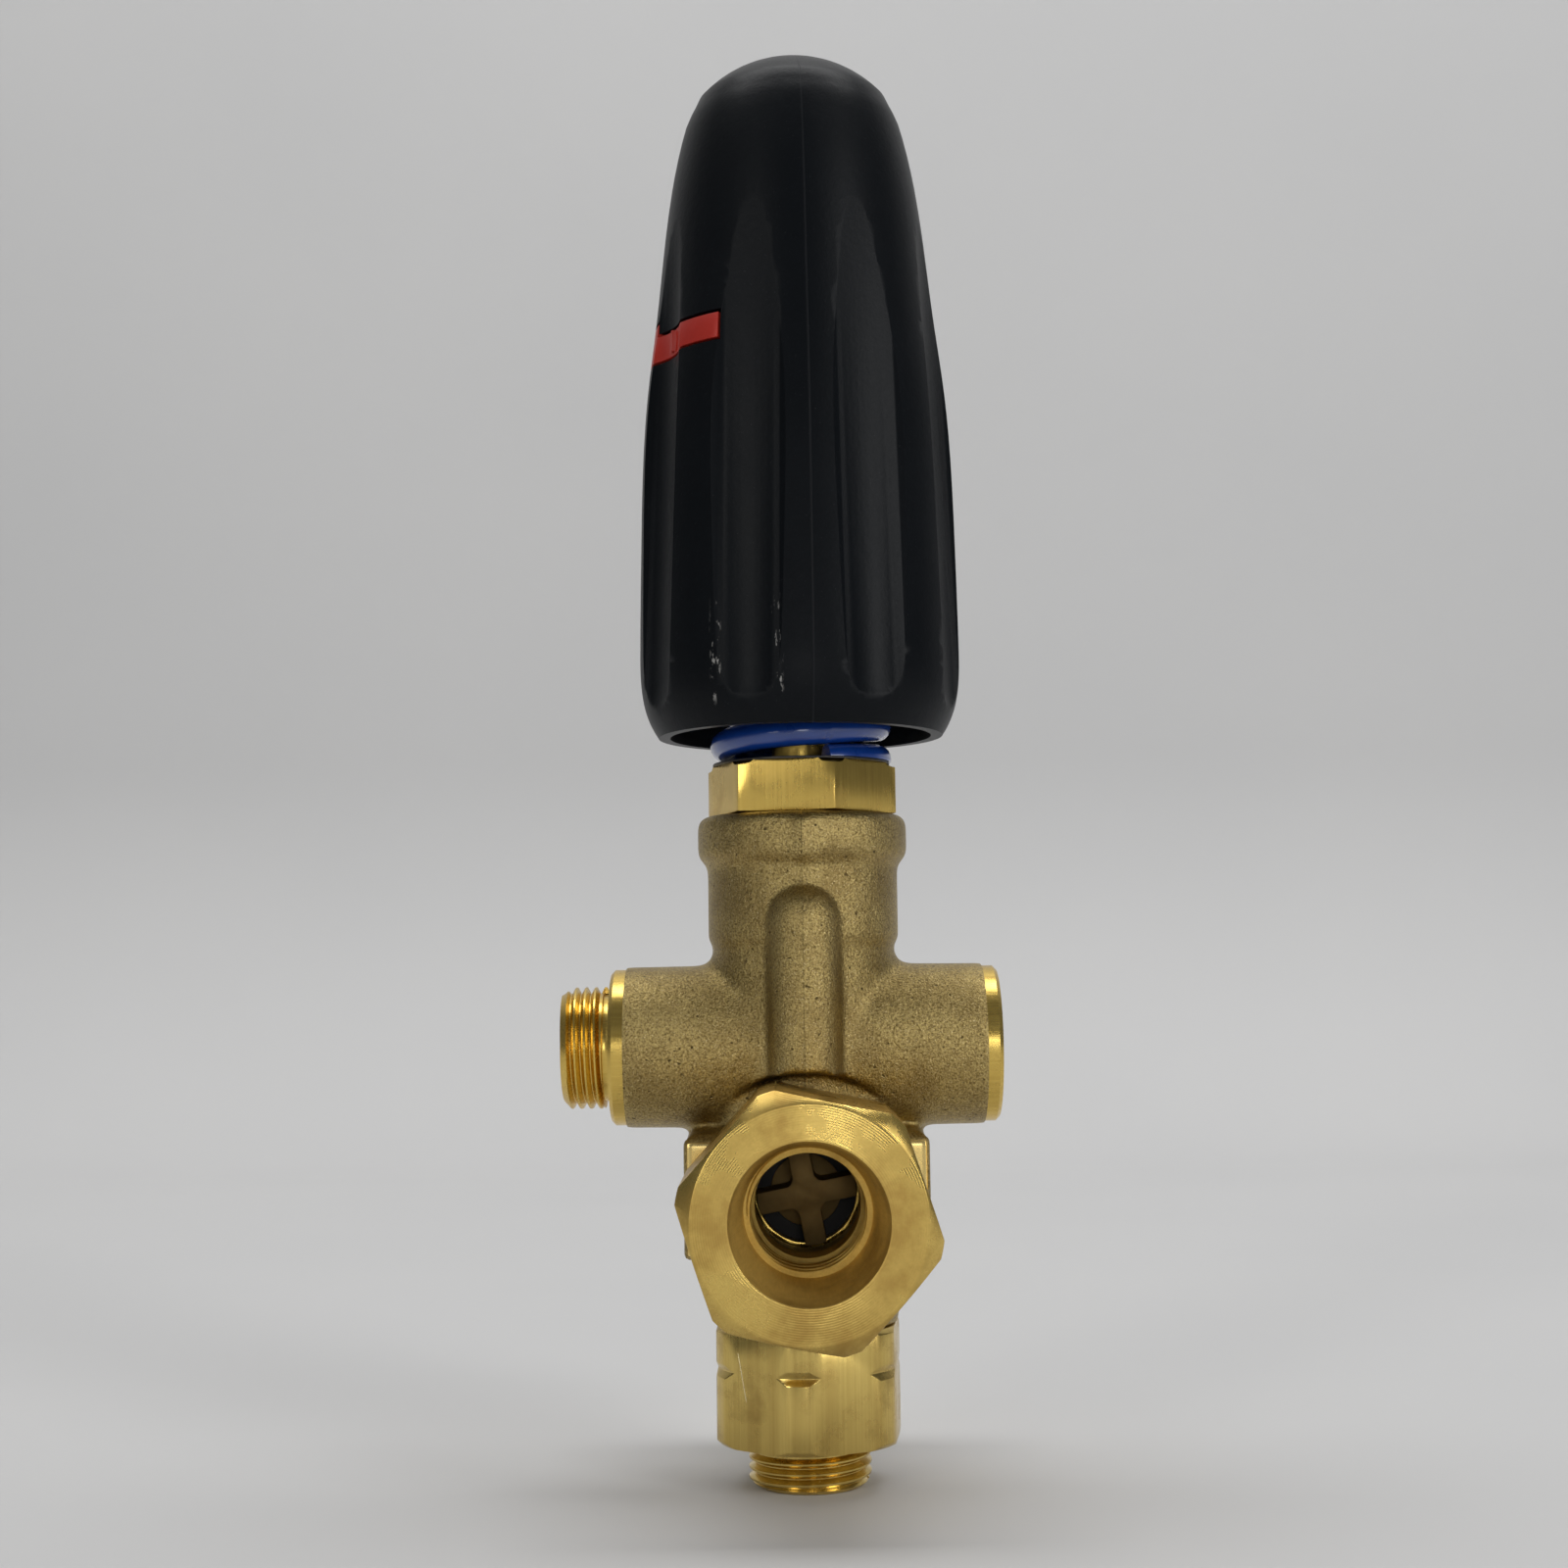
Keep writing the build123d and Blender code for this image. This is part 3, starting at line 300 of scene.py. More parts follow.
# The skin is one mesh of small squares, so that every corner the dies left round can be rounded.
arm_height = (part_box("bypass_nipple")[0].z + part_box("bypass_nipple")[1].z) / 2
skin_square = 0.52 * mm
arm_end = 24.45 * mm
port_wall = 9.1 * mm
port_floor = 14 * mm
port_mouth = 26.4 * mm
thread_minor = 7.475 * mm
bored_y = -7.6 * mm
bored_top = 47 * mm
body_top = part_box("valve_body")[1].z
ridge_radius = 4.8 * mm
ridge_middle = 11.5 * mm
ridge_depth = 8 * mm
ridge_side = 7 * mm
ridge_end = body_top - 9.9 * mm
neck_radius = 13.15 * mm
neck_end = body_top - 6.9 * mm
left_port = Matrix.Translation((0, 0, arm_height)) @ Matrix.Rotation(radians(-90), 4, "Y")
right_port = Matrix.Translation((0, 0, arm_height)) @ Matrix.Rotation(radians(90), 4, "Y")
ring_slack = 0.08 * mm


def move_ring(shape, place, old_radius, new_radius, start, end):
    """Moves the rings of a bore or a spigot to a new radius, between two places along its axis."""
    back = place.inverted()
    for vert in shape.verts:
        local = back @ vert.co
        reach = hypot(local.x, local.y)
        if abs(reach - old_radius) < ring_slack and start < local.z < end:
            local.x *= new_radius / reach
            local.y *= new_radius / reach
            vert.co = place @ local
    bmesh.ops.remove_doubles(shape, verts=shape.verts, dist=same_place)


def rub_down(shape, verts, passes):
    """Rounds the corners between these vertices, a little more with each pass."""
    for _ in range(passes):
        bmesh.ops.smooth_vert(
            shape, verts=verts, factor=0.5, use_axis_x=True, use_axis_y=True, use_axis_z=True
        )


def worked(block):
    """The bmesh of an object as its modifier leaves it; the object is taken away."""
    depsgraph = bpy.context.evaluated_depsgraph_get()
    mesh = bpy.data.meshes.new_from_object(block.evaluated_get(depsgraph))
    shape = bmesh.new()
    shape.from_mesh(mesh)
    bpy.data.objects.remove(block)
    bpy.data.meshes.remove(mesh)
    return shape


def round_ridge_tops(shape):
    """Gives the front and back ridges a domed top and files the flash above them flush."""
    dome_start = ridge_end - ridge_radius
    crest = [vert for vert in shape.verts if vert.co.z > dome_start and abs(vert.co.y) > ridge_depth]
    for vert in crest:
        rise = vert.co.z - dome_start
        reach = abs(vert.co.x)
        if reach < ridge_side and vert.co.z < neck_end:
            dome = sqrt(max(ridge_radius ** 2 - rise ** 2, 0))
            outward = sqrt(neck_radius ** 2 - reach ** 2)
            if reach < dome:
                outward = max(outward, ridge_middle + sqrt(dome ** 2 - reach ** 2))
            if abs(vert.co.y) > outward:
                vert.co.y = outward if vert.co.y > 0 else -outward
    blended = [vert for vert in crest if vert.co.z < neck_end + 1 * mm or vert.co.y < 0]
    rub_down(shape, blended, 5)


def forged_skin():
    """The body remeshed, its forged corners rounded, and both arms cut off where the lathe began."""
    rough = cad_shape("valve_body")
    move_ring(rough, right_port, thread_minor, port_wall, port_floor, port_mouth)
    blank = made_object("blank", rough)
    squares = blank.modifiers.new("squares", "REMESH")
    squares.mode = "VOXEL"
    squares.voxel_size = skin_square
    shape = worked(blank)
    forged = [vert for vert in shape.verts if vert.co.y > bored_y or vert.co.z > bored_top]
    rub_down(shape, forged, 6)
    round_ridge_tops(shape)
    for side in (-1, 1):
        cut = bmesh.ops.bisect_plane(
            shape, geom=[*shape.verts, *shape.edges, *shape.faces],
            plane_co=(side * arm_end, 0, 0), plane_no=(side, 0, 0), clear_outer=True,
        )["geom_cut"]
        rims = [item for item in cut if isinstance(item, bmesh.types.BMEdge)]
        bmesh.ops.triangle_fill(shape, use_beauty=True, edges=rims)
    bmesh.ops.recalc_face_normals(shape, faces=shape.faces)
    return shape


add_piece("forged_body", forged_skin(), "housing", "valve_body", forged_brass(), 50)


# ------------------------------------------------------------------ turned arm ends
# Each arm is faced and turned down a little at its end, which leaves a bright ring.
# The right one is also tapped with the bypass port's pipe thread.
arm_face = 26.5 * mm
face_radius = 10.15 * mm
turned_radius = 10.65 * mm
overlap = 0.05 * mm


def turned(section, place, steps, closed=True):
    """Spins a row of heights and radii round the Z axis of its place."""
    shape = bmesh.new()
    corners = [shape.verts.new((radius, 0, along)) for along, radius in section]
    following = corners[1:] + corners[:1] if closed else corners[1:]
    edges = [shape.edges.new(pair) for pair in zip(corners, following)]
    bmesh.ops.spin(
        shape, geom=[*edges, *corners], cent=(0, 0, 0), axis=(0, 0, 1), angle=2 * pi, steps=steps,
        use_merge=True, use_duplicate=False,
    )
    bmesh.ops.recalc_face_normals(shape, faces=shape.faces)
    bmesh.ops.transform(shape, matrix=place, verts=shape.verts)
    return shape


def turned_end(place, inner, mouth, depth):
    """Ring turned on an arm's end, with the port's wall behind it."""
    section = [
        (depth, inner), (arm_face - (mouth - inner), inner), (arm_face, mouth),
        (arm_face, face_radius), (arm_face + face_radius - turned_radius, turned_radius),
        (arm_end - overlap, turned_radius), (arm_end - overlap, port_wall - overlap),
        (depth, port_wall - overlap),
    ]
    return turned(section, place, 96)


thread_pitch = 1.337 * mm
thread_major = 8.33 * mm
thread_root = 0.06 * mm


def add_thread(shape, place, start, end, root, crest, ends=None):
    """Winds a pipe thread's ridge on to a shape, round the Z axis of its place, from start to end."""
    ridge = bmesh.new()
    sunk = root - thread_root if crest > root else root + thread_root
    near_crest = crest - 0.10 * (crest - root)
    foot = 0.48 * thread_pitch
    shoulder = 0.15 * thread_pitch
    flat = 0.08 * thread_pitch
    section = [
        (sunk, -foot), (near_crest, -shoulder), (crest, -flat),
        (crest, flat), (near_crest, shoulder), (sunk, foot),
    ]
    corners = [ridge.verts.new((radius, 0, start + along)) for radius, along in section]
    first = ridge.faces.new(corners)
    turns = (end - start) / thread_pitch
    steps = round(64 * turns)
    bmesh.ops.spin(
        ridge, geom=[first, *first.edges, *first.verts], cent=(0, 0, 0), axis=(0, 0, 1),
        dvec=(0, 0, (end - start) / steps), angle=2 * pi * turns, steps=steps, use_duplicate=False,
    )
    if ends:
        for vert in ridge.verts:
            limit = ends(vert.co.z)
            reach = hypot(vert.co.x, vert.co.y)
            if reach > limit:
                vert.co.x *= limit / reach
                vert.co.y *= limit / reach
    bmesh.ops.recalc_face_normals(ridge, faces=ridge.faces)
    bmesh.ops.transform(ridge, matrix=place, verts=ridge.verts)
    carried = bpy.data.meshes.new("ridge")
    ridge.to_mesh(carried)
    ridge.free()
    shape.from_mesh(carried)
    bpy.data.meshes.remove(carried)


nipple_spigot = 8.37 * mm
arm_brass = machined_brass("arm_brass", "x", 0.15, drawn=False)
port_depth = 14.5 * mm
port_chamfer = 8.75 * mm
left_ring = turned_end(left_port, nipple_spigot, nipple_spigot, 24.0 * mm)
add_piece("left_arm_ring", left_ring, "housing", "valve_body", arm_brass)
right_ring = turned_end(right_port, thread_major, port_chamfer, port_depth)
add_thread(
    right_ring, right_port, port_depth + 0.9 * mm, arm_face - 0.7 * mm, thread_major, thread_minor
)
add_piece("right_arm_ring", right_ring, "housing", "valve_body", arm_brass)


# ------------------------------------------------------------------ bonnet nut
# Cut from drawn hexagon brass bar and screwed into the neck, where it guides the stem.
# Streaks run along the bar; its top stands a little above the CAD's and hides the plate's edge.
def lift(shape, height, rise):
    """Moves a shape's flat face at this height up."""
    for vert in shape.verts:
        if abs(vert.co.z - height) < 0.05 * mm:
            vert.co.z += rise


seating = 0.4 * mm
bonnet_shape = cad_shape("bonnet_nut")
lift(bonnet_shape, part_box("bonnet_nut")[1].z, seating)
soften(bonnet_shape, 0.10 * mm)
add_piece(
    "bonnet_hexagon", bonnet_shape, "housing", "bonnet_nut", machined_brass("bar_brass")
)


# ------------------------------------------------------------------ spring plates
# Thin blackened steel discs that spread the spring's load, one at each end.
# The lower one lies on the bonnet nut, the upper one is pressed down by the knob's bush.
def dark_steel():
    finish = Finish("dark_steel", Metallic=0.9)
    wear = finish.noise(260, 4.0, 0.65)
    tone = finish.blend(wear, colour(0.018, 0.018, 0.02), colour(0.10, 0.095, 0.09))
    grain = finish.noise(1400, 2.0, 0.6)
    return finish.feed(
        Base_Color=tone, Roughness=wear * 0.25 + 0.32, Normal=finish.bump(grain, 0.02 * mm)
    )


black_steel = dark_steel()
lower_plate_shape = cad_shape("lower_spring_plate")
lift(lower_plate_shape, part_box("lower_spring_plate")[0].z, seating)
soften(lower_plate_shape, 0.08 * mm)
add_piece("lower_plate", lower_plate_shape, "housing", "lower_spring_plate", black_steel)
upper_plate_shape = soften(cad_shape("upper_spring_plate"), 0.12 * mm)
add_piece("upper_plate", upper_plate_shape, "adjuster", "upper_spring_plate", black_steel)


# ------------------------------------------------------------------ main spring
# Round spring wire, wound right-handed with closed ends and dipped in blue enamel.
# It is made in two lengths, a lower half and an upper half.
def spring_enamel():
    finish = Finish("blue_enamel", Coat_Roughness=0.08)
    flow = finish.noise(240, 3.0, 0.5)
    chips = finish.noise(620, 3.0, 0.6).step(0.70, 0.76)
    base = finish.blend(flow, colour(0.004, 0.030, 0.19), colour(0.008, 0.060, 0.33))
    chipped = finish.blend(chips * 0.5, base, colour(0.05, 0.05, 0.06))
    coat = 0.9 - chips * 0.6
    return finish.feed(
        Base_Color=chipped, Roughness=flow * 0.15 + 0.22, Coat_Weight=coat,
        Normal=finish.bump(flow, 0.05 * mm),
    )


spring_low, spring_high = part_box("main_spring")
spring_base = spring_low.z
spring_height = spring_high.z - spring_low.z
wire_radius = 1.95 * mm
ground_off = 2.2 * mm
coil_radius = (spring_high.x - spring_low.x) / 2 - wire_radius
closed_rise = 2 * wire_radius
active_pitch = 6.7 * mm
wound_height = spring_height - 2 * (wire_radius - ground_off)
active_turns = (wound_height - 2 * closed_rise) / active_pitch
tip_azimuth = radians(18)


def wind(shape, ring, turns, pitch):
    """Spins the last ring of the wire on by some turns and returns the new last ring."""
    steps = round(56 * turns)
    made = bmesh.ops.spin(
        shape, geom=ring, cent=(0, 0, 0), axis=(0, 0, 1), dvec=(0, 0, turns * pitch / steps),
        angle=2 * pi * turns, steps=steps, use_duplicate=False,
    )
    return list(made["geom_last"])


def close_end(shape, ring):
    """Caps the wire's last ring."""
    edges = [item for item in ring if isinstance(item, bmesh.types.BMEdge)]
    bmesh.ops.contextual_create(shape, geom=edges)
    bmesh.ops.recalc_face_normals(shape, faces=shape.faces)


def wire_start(azimuth, height):
    """A ring of the wire's section at this azimuth from the front, and its bmesh."""
    shape = bmesh.new()
    out = Vector((sin(azimuth), -cos(azimuth), 0))
    place = Matrix.Translation(out * coil_radius + Vector((0, 0, height)))
    turn = Matrix.Rotation(azimuth, 4, "Z") @ Matrix.Rotation(radians(90), 4, "Y")
    bmesh.ops.create_circle(shape, cap_ends=True, segments=20, radius=wire_radius, matrix=place @ turn)
    return shape, list(shape.verts) + list(shape.edges)


enamel = spring_enamel()
middle_turns = active_turns / 2
lower_shape, ring = wire_start(tip_azimuth, spring_base + wire_radius - ground_off)
ring = wind(lower_shape, ring, 1.0, closed_rise)
ring = wind(lower_shape, ring, middle_turns, active_pitch)
close_end(lower_shape, ring)
middle_height = spring_base + wire_radius - ground_off + closed_rise + middle_turns * active_pitch
middle_azimuth = tip_azimuth + 2 * pi * middle_turns
upper_shape, ring = wire_start(middle_azimuth, middle_height)
ring = wind(upper_shape, ring, middle_turns, active_pitch)
ring = wind(upper_shape, ring, 1.0, closed_rise)
close_end(upper_shape, ring)


def grind_end(shape, height, outward):
    """Grinds the end coil flat at this height."""
    bmesh.ops.bisect_plane(
        shape, geom=[*shape.verts, *shape.edges, *shape.faces], plane_co=(0, 0, height),
        plane_no=(0, 0, outward), clear_outer=True,
    )
    open_edges = [edge for edge in shape.edges if len(edge.link_faces) == 1]
    bmesh.ops.holes_fill(shape, edges=open_edges, sides=0)
    bmesh.ops.recalc_face_normals(shape, faces=shape.faces)


grind_end(lower_shape, spring_base, -1)
grind_end(upper_shape, spring_high.z, 1)


def spring_piece(name, shape, node, material):
    """A length of spring, put in its CAD node's place."""
    shade(shape, 40)
    piece = made_object(name, shape)
    piece.data.materials.append(material)
    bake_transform(piece)
    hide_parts(node)


spring_piece(
    "spring_lower_half", lower_shape, "main_spring", enamel,
)
spring_piece(
    "spring_upper_half", upper_shape, "main_spring", enamel,
)


# ------------------------------------------------------------------ inlet fitting
# Turned from hexagon bar: corners turned down, a conical mouth and a parallel pipe thread inside.
# Its face carries the rings of the facing cut, dulled to brown and yellow in patches.
port_height = (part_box("inlet_fitting")[0].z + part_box("inlet_fitting")[1].z) / 2
mouth_radius = 10 * mm
tool_feed = 0.30 * mm


def inlet_brass():
    finish = Finish("inlet_brass", Metallic=1.0)
    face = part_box("inlet_fitting")[0].y
    up = finish.z - port_height
    facing = 1.0 - finish.y.step(face + 0.4 * mm, face + 5.0 * mm)
    rings = turned_marks((finish.x, up), finish.y * 0.6, tool_feed)
    cloud = finish.noise(95, 5.0, 0.62)
    blotch = finish.noise(320, 4.0, 0.6).step(0.50, 0.68)
    streaks = finish.noise(1.0, 3.0, 0.6, finish.stretched((3000, 60, 3000)))
    base = finish.blend(streaks, colour(0.62, 0.42, 0.105), colour(0.86, 0.63, 0.19))
    brown = finish.blend(cloud.step(0.38, 0.66) * 0.75, base, colour(0.40, 0.24, 0.06))
    mottled = finish.blend(blotch * facing * 0.5, brown, colour(0.66, 0.46, 0.13))
    from_axis = (finish.x * finish.x + up * up).math("SQRT")
    bored = 1.0 - from_axis.step(mouth_radius - 0.05 * mm, mouth_radius + 0.05 * mm)
    rough = (cloud.step(0.35, 0.7) * 0.18 + blotch * 0.06 + 0.22) * (1.0 - bored) + bored * 0.58
    feed_lines = (finish.y * (2 * pi / tool_feed)).math("SINE")
    lathe = finish.bump(rings * facing * (1.0 - bored) * 0.15 + feed_lines * bored, 0.04 * mm)
    normal = finish.bump(streaks, 0.006 * mm, lathe)
    return finish.feed(Base_Color=mottled, Roughness=rough, Normal=normal)


inlet_place = Matrix.Translation((0, 0, port_height)) @ Matrix.Rotation(radians(90), 4, "X")
mouth_end = 20.5 * mm
thread_end = 10.5 * mm
corner_turned = 16.7 * mm
face_turned = 14.7 * mm
spot_face_end = 8.8 * mm
front_chamfer = 1.7 * mm
rear_chamfer = 1.2 * mm
inlet_front = -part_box("inlet_fitting")[0].y


def turned_envelope():
    """Solid of revolution that turns the hexagon's corners down, round the inlet's axis."""
    front = inlet_front + 1 * mm
    back = spot_face_end - 8 * mm
    section = [
        (front, 0), (front, face_turned - 1.2 * mm), (inlet_front - front_chamfer, corner_turned),
        (spot_face_end + rear_chamfer, corner_turned), (spot_face_end, face_turned),
        (back, face_turned), (back, 0),
    ]
    shape = turned(section, inlet_place, 128, closed=False)
    bmesh.ops.remove_doubles(shape, verts=shape.verts, dist=same_place)
    bmesh.ops.recalc_face_normals(shape, faces=shape.faces)
    return shape


def kept_inside(shape, envelope):
    """What is left of a shape inside an envelope; both shapes are used up."""
    stock = made_object("stock", shape)
    cutter = made_object("envelope", envelope)
    turning = stock.modifiers.new("turning", "BOOLEAN")
    turning.operation = "INTERSECT"
    turning.solver = "EXACT"
    turning.object = cutter
    result = worked(stock)
    bpy.data.objects.remove(cutter)
    bmesh.ops.remove_doubles(result, verts=result.verts, dist=2 * same_place)
    return result


inlet_shape = kept_inside(cad_shape("inlet_fitting"), turned_envelope())
soften(inlet_shape, 0.10 * mm, 20)
move_ring(inlet_shape, inlet_place, thread_minor, thread_major, thread_end - 0.1 * mm, mouth_end + 0.1 * mm)
add_thread(
    inlet_shape, inlet_place, thread_end + 1.0 * mm, mouth_end - 0.3 * mm, thread_major, thread_minor
)
add_piece("inlet_hexagon", inlet_shape, "housing", "inlet_fitting", inlet_brass(), 18)


# ------------------------------------------------------------------ outlet adapter
# Hexagon bar with a groove turned across its corners, and the outlet's pipe thread below.
# Drawn bar keeps fine lines lengthwise, and this one has a long scratch on its left flat.
def adapter_brass():
    finish = Finish("adapter_brass", Metallic=1.0)
    streaks = finish.noise(1.0, 4.0, 0.65, finish.stretched((3600, 3600, 40)))
    broad = finish.noise(1.0, 2.0, 0.5, finish.stretched((700, 700, 12)))
    cloud = finish.noise(160, 4.0, 0.6)
    scratch_foot = 6.2 * mm
    scratch_top = 12.6 * mm
    scratch_side = 9.5 * mm
    lean = 0.17
    scratch_line = (finish.x + scratch_side - (scratch_top - finish.z) * lean).size()
    front = 1.0 - finish.y.step(-2 * mm, 0.0)
    below_top = 1.0 - finish.z.step(scratch_top - 0.2 * mm, scratch_top + 0.2 * mm)
    inside = finish.z.step(scratch_foot, scratch_foot + 0.6 * mm) * below_top
    scratch = (1.0 - scratch_line.step(0.02 * mm, 0.08 * mm)) * front * inside
    base = finish.blend(streaks, colour(0.52, 0.36, 0.095), colour(0.86, 0.65, 0.21))
    shaded = finish.blend(broad.step(0.4, 0.7) * 0.4, base, colour(0.48, 0.32, 0.09))
    dulled = finish.blend(cloud.step(0.48, 0.75) * 0.5, shaded, colour(0.30, 0.18, 0.05))
    scored = finish.blend(scratch, dulled, colour(0.95, 0.82, 0.50))
    rough = streaks * 0.12 + cloud.step(0.45, 0.7) * 0.12 + 0.15
    drawn = finish.bump(streaks * 0.7 + broad * 0.4, 0.008 * mm)
    normal = finish.bump(1.0 - scratch, 0.03 * mm, drawn)
    return finish.feed(Base_Color=scored, Roughness=rough, Normal=normal)


upright = Matrix.Identity(4)
end_slope = 0.9
adapter_shape = soften(cad_shape("outlet_adapter"), 0.10 * mm)
move_ring(
    adapter_shape, upright, thread_major, thread_minor, outlet_end + 0.5 * mm, 0.1 * mm
)
add_thread(
    adapter_shape, upright, outlet_end + 0.4 * mm, -1.3 * mm, thread_minor, thread_major,
    lambda height: thread_minor + max(0, height - outlet_end) * end_slope,
)
add_piece("outlet_hexagon", adapter_shape, "housing", "outlet_adapter", adapter_brass())


# ------------------------------------------------------------------ bypass nipple
# Screwed into the left arm with an internal hexagon key; its own thread takes the bypass hose.
# It ends in a chamfer, and its wall behind the thread is turned down to clear the hose's nut.
nipple_end = -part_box("bypass_nipple")[0].x
nipple_thread = 27.4 * mm
nipple_shape = soften(cad_shape("bypass_nipple"), 0.08 * mm)
move_ring(
    nipple_shape, left_port, thread_major, thread_minor, nipple_thread - 0.4 * mm, nipple_end - 0.5 * mm
)
add_thread(
    nipple_shape, left_port, nipple_thread, nipple_end - 0.4 * mm, thread_minor, thread_major,
    lambda along: thread_minor + max(0, nipple_end - along) * end_slope,
)
bright_brass = machined_brass("bright_brass", "x", 0.2)
add_piece("left_nipple", nipple_shape, "housing", "bypass_nipple", bright_brass)


# ------------------------------------------------------------------ check-valve plug
# A hexagon plug of brass bar, screwed in at the back against its O-ring.
# It closes the check valve's bore and is what the valve's spring stands on.
plug_shape = soften(cad_shape("check_plug"), 0.12 * mm)
plug_brass = machined_brass("plug_brass", "y", 0.4)
add_piece("rear_plug", plug_shape, "housing", "check_plug", plug_brass)


# ------------------------------------------------------------------ check valve
# A winged brass poppet, dull as cast and darkened further with painted shade, which shows as a cross deep
# in the inlet.
# A light blackened spring behind it presses it on its seat.
def shade_darkened_poppet():
    finish = Finish("poppet_brass", Metallic=1.0)
    grain = finish.noise(1300, 3.0, 0.6)
    cloud = finish.noise(240, 3.0, 0.6)
    # Both brass tones are kept dark: partly the dull cast finish, partly painted shade for its place deep
    # in the bore.
    tone = finish.blend(cloud, colour(0.20, 0.135, 0.05), colour(0.36, 0.25, 0.10))
    return finish.feed(
        Base_Color=tone, Roughness=grain * 0.15 + 0.52, Normal=finish.bump(grain, 0.03 * mm)
    )


poppet_shape = soften(cad_shape("check_poppet"), 0.08 * mm)
add_piece("winged_poppet", poppet_shape, "poppet", "check_poppet", shade_darkened_poppet())
check_low, check_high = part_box("check_spring")
check_wire = 0.45 * mm
check_coil = (check_high.x - check_low.x) / 2 - check_wire
check_length = check_high.y - check_low.y
check_shape = bmesh.new()
bmesh.ops.create_circle(
    check_shape, cap_ends=True, segments=10, radius=check_wire,
    matrix=Matrix.Translation((check_coil, 0, check_wire)) @ Matrix.Rotation(radians(90), 4, "X"),
)
ring = list(check_shape.verts) + list(check_shape.edges)
open_turns = 3.0
check_rise = 2.1 * check_wire
open_length = check_length - 2 * check_rise - 2 * check_wire
ring = wind(check_shape, ring, 1.0, check_rise)
ring = wind(check_shape, ring, open_turns, open_length / open_turns)
ring = wind(check_shape, ring, 1.0, check_rise)
close_end(check_shape, ring)
bmesh.ops.transform(
    check_shape, verts=check_shape.verts,
    matrix=Matrix.Translation((0, check_low.y, port_height)) @ Matrix.Rotation(radians(-90), 4, "X"),
)
spring_piece(
    "check_spring_wire", check_shape, "check_spring", black_steel,
)


# ------------------------------------------------------------------ stem and its fittings
# The bright stem runs from the piston up through the bonnet and the spring to its stop nut.
# The knob's bush turns on its upper end; the shutter, its seat and the small fittings are steel.
def ground_steel():
    finish = Finish("spring_steel", Metallic=1.0)
    drawn = finish.noise(1500, 2.0, 0.6)
    tone = finish.blend(drawn, colour(0.16, 0.16, 0.165), colour(0.34, 0.34, 0.34))
    return finish.feed(
        Base_Color=tone, Roughness=drawn * 0.12 + 0.22, Normal=finish.bump(drawn, 0.008 * mm)
    )


stem_brass = machined_brass("stem_brass", "z", 0.25)
steel = ground_steel()
turned_edge = 0.06 * mm
for node, piece_name, body in (
    ("stem", "stem_rod", "stem"),
    ("piston", "piston_head", "stem"),
    ("check_seat", "check_seat_ring", "housing"),
    ("adjusting_bush", "threaded_bush", "knob"),
):
    add_piece(piece_name, soften(cad_shape(node), turned_edge), body, node, stem_brass)
for node, piece_name, body in (
    ("piston_nut", "piston_lock_nut", "stem"),
    ("stop_nut", "stem_stop_nut", "stem"),
    ("shutter", "shutter_tip", "stem"),
    ("shutter_seat", "steel_seat", "housing"),
    ("sense_ball", "steel_ball", "housing"),
):
    add_piece(piece_name, soften(cad_shape(node), turned_edge), body, node, steel)


# ------------------------------------------------------------------ seals
# Nitrile O-rings, harder white backing rings behind them, and a flat gasket under the adapter.
# They stay the CAD's own pieces and only get their rubber or plastic here.
def rubber():
    finish = Finish("nitrile", Specular_IOR_Level=0.35)
    bloom = finish.noise(500, 3.0, 0.6)
    tone = finish.blend(bloom, colour(0.010, 0.010, 0.011), colour(0.030, 0.029, 0.028))
    return finish.feed(
        Base_Color=tone, Roughness=bloom * 0.2 + 0.45, Normal=finish.bump(bloom, 0.02 * mm)
    )


def backing_plastic():
    finish = Finish("backing_plastic")
    haze = finish.noise(700, 3.0, 0.55)
    tone = finish.blend(haze, colour(0.62, 0.60, 0.55), colour(0.80, 0.78, 0.72))
    return finish.feed(
        Base_Color=tone, Roughness=haze * 0.15 + 0.38, Normal=finish.bump(haze, 0.015 * mm)
    )


nitrile = rubber()
white_ring = backing_plastic()
seal_of = {"seal_rubber": nitrile, "seal_ptfe": white_ring}
for entry in frame["record"]["subparts"]:
    seal = seal_of.get(entry["material_slot"])
    if seal:
        skin = frame["nodes"][entry["node"]].data.materials
        skin.clear()
        skin.append(seal)


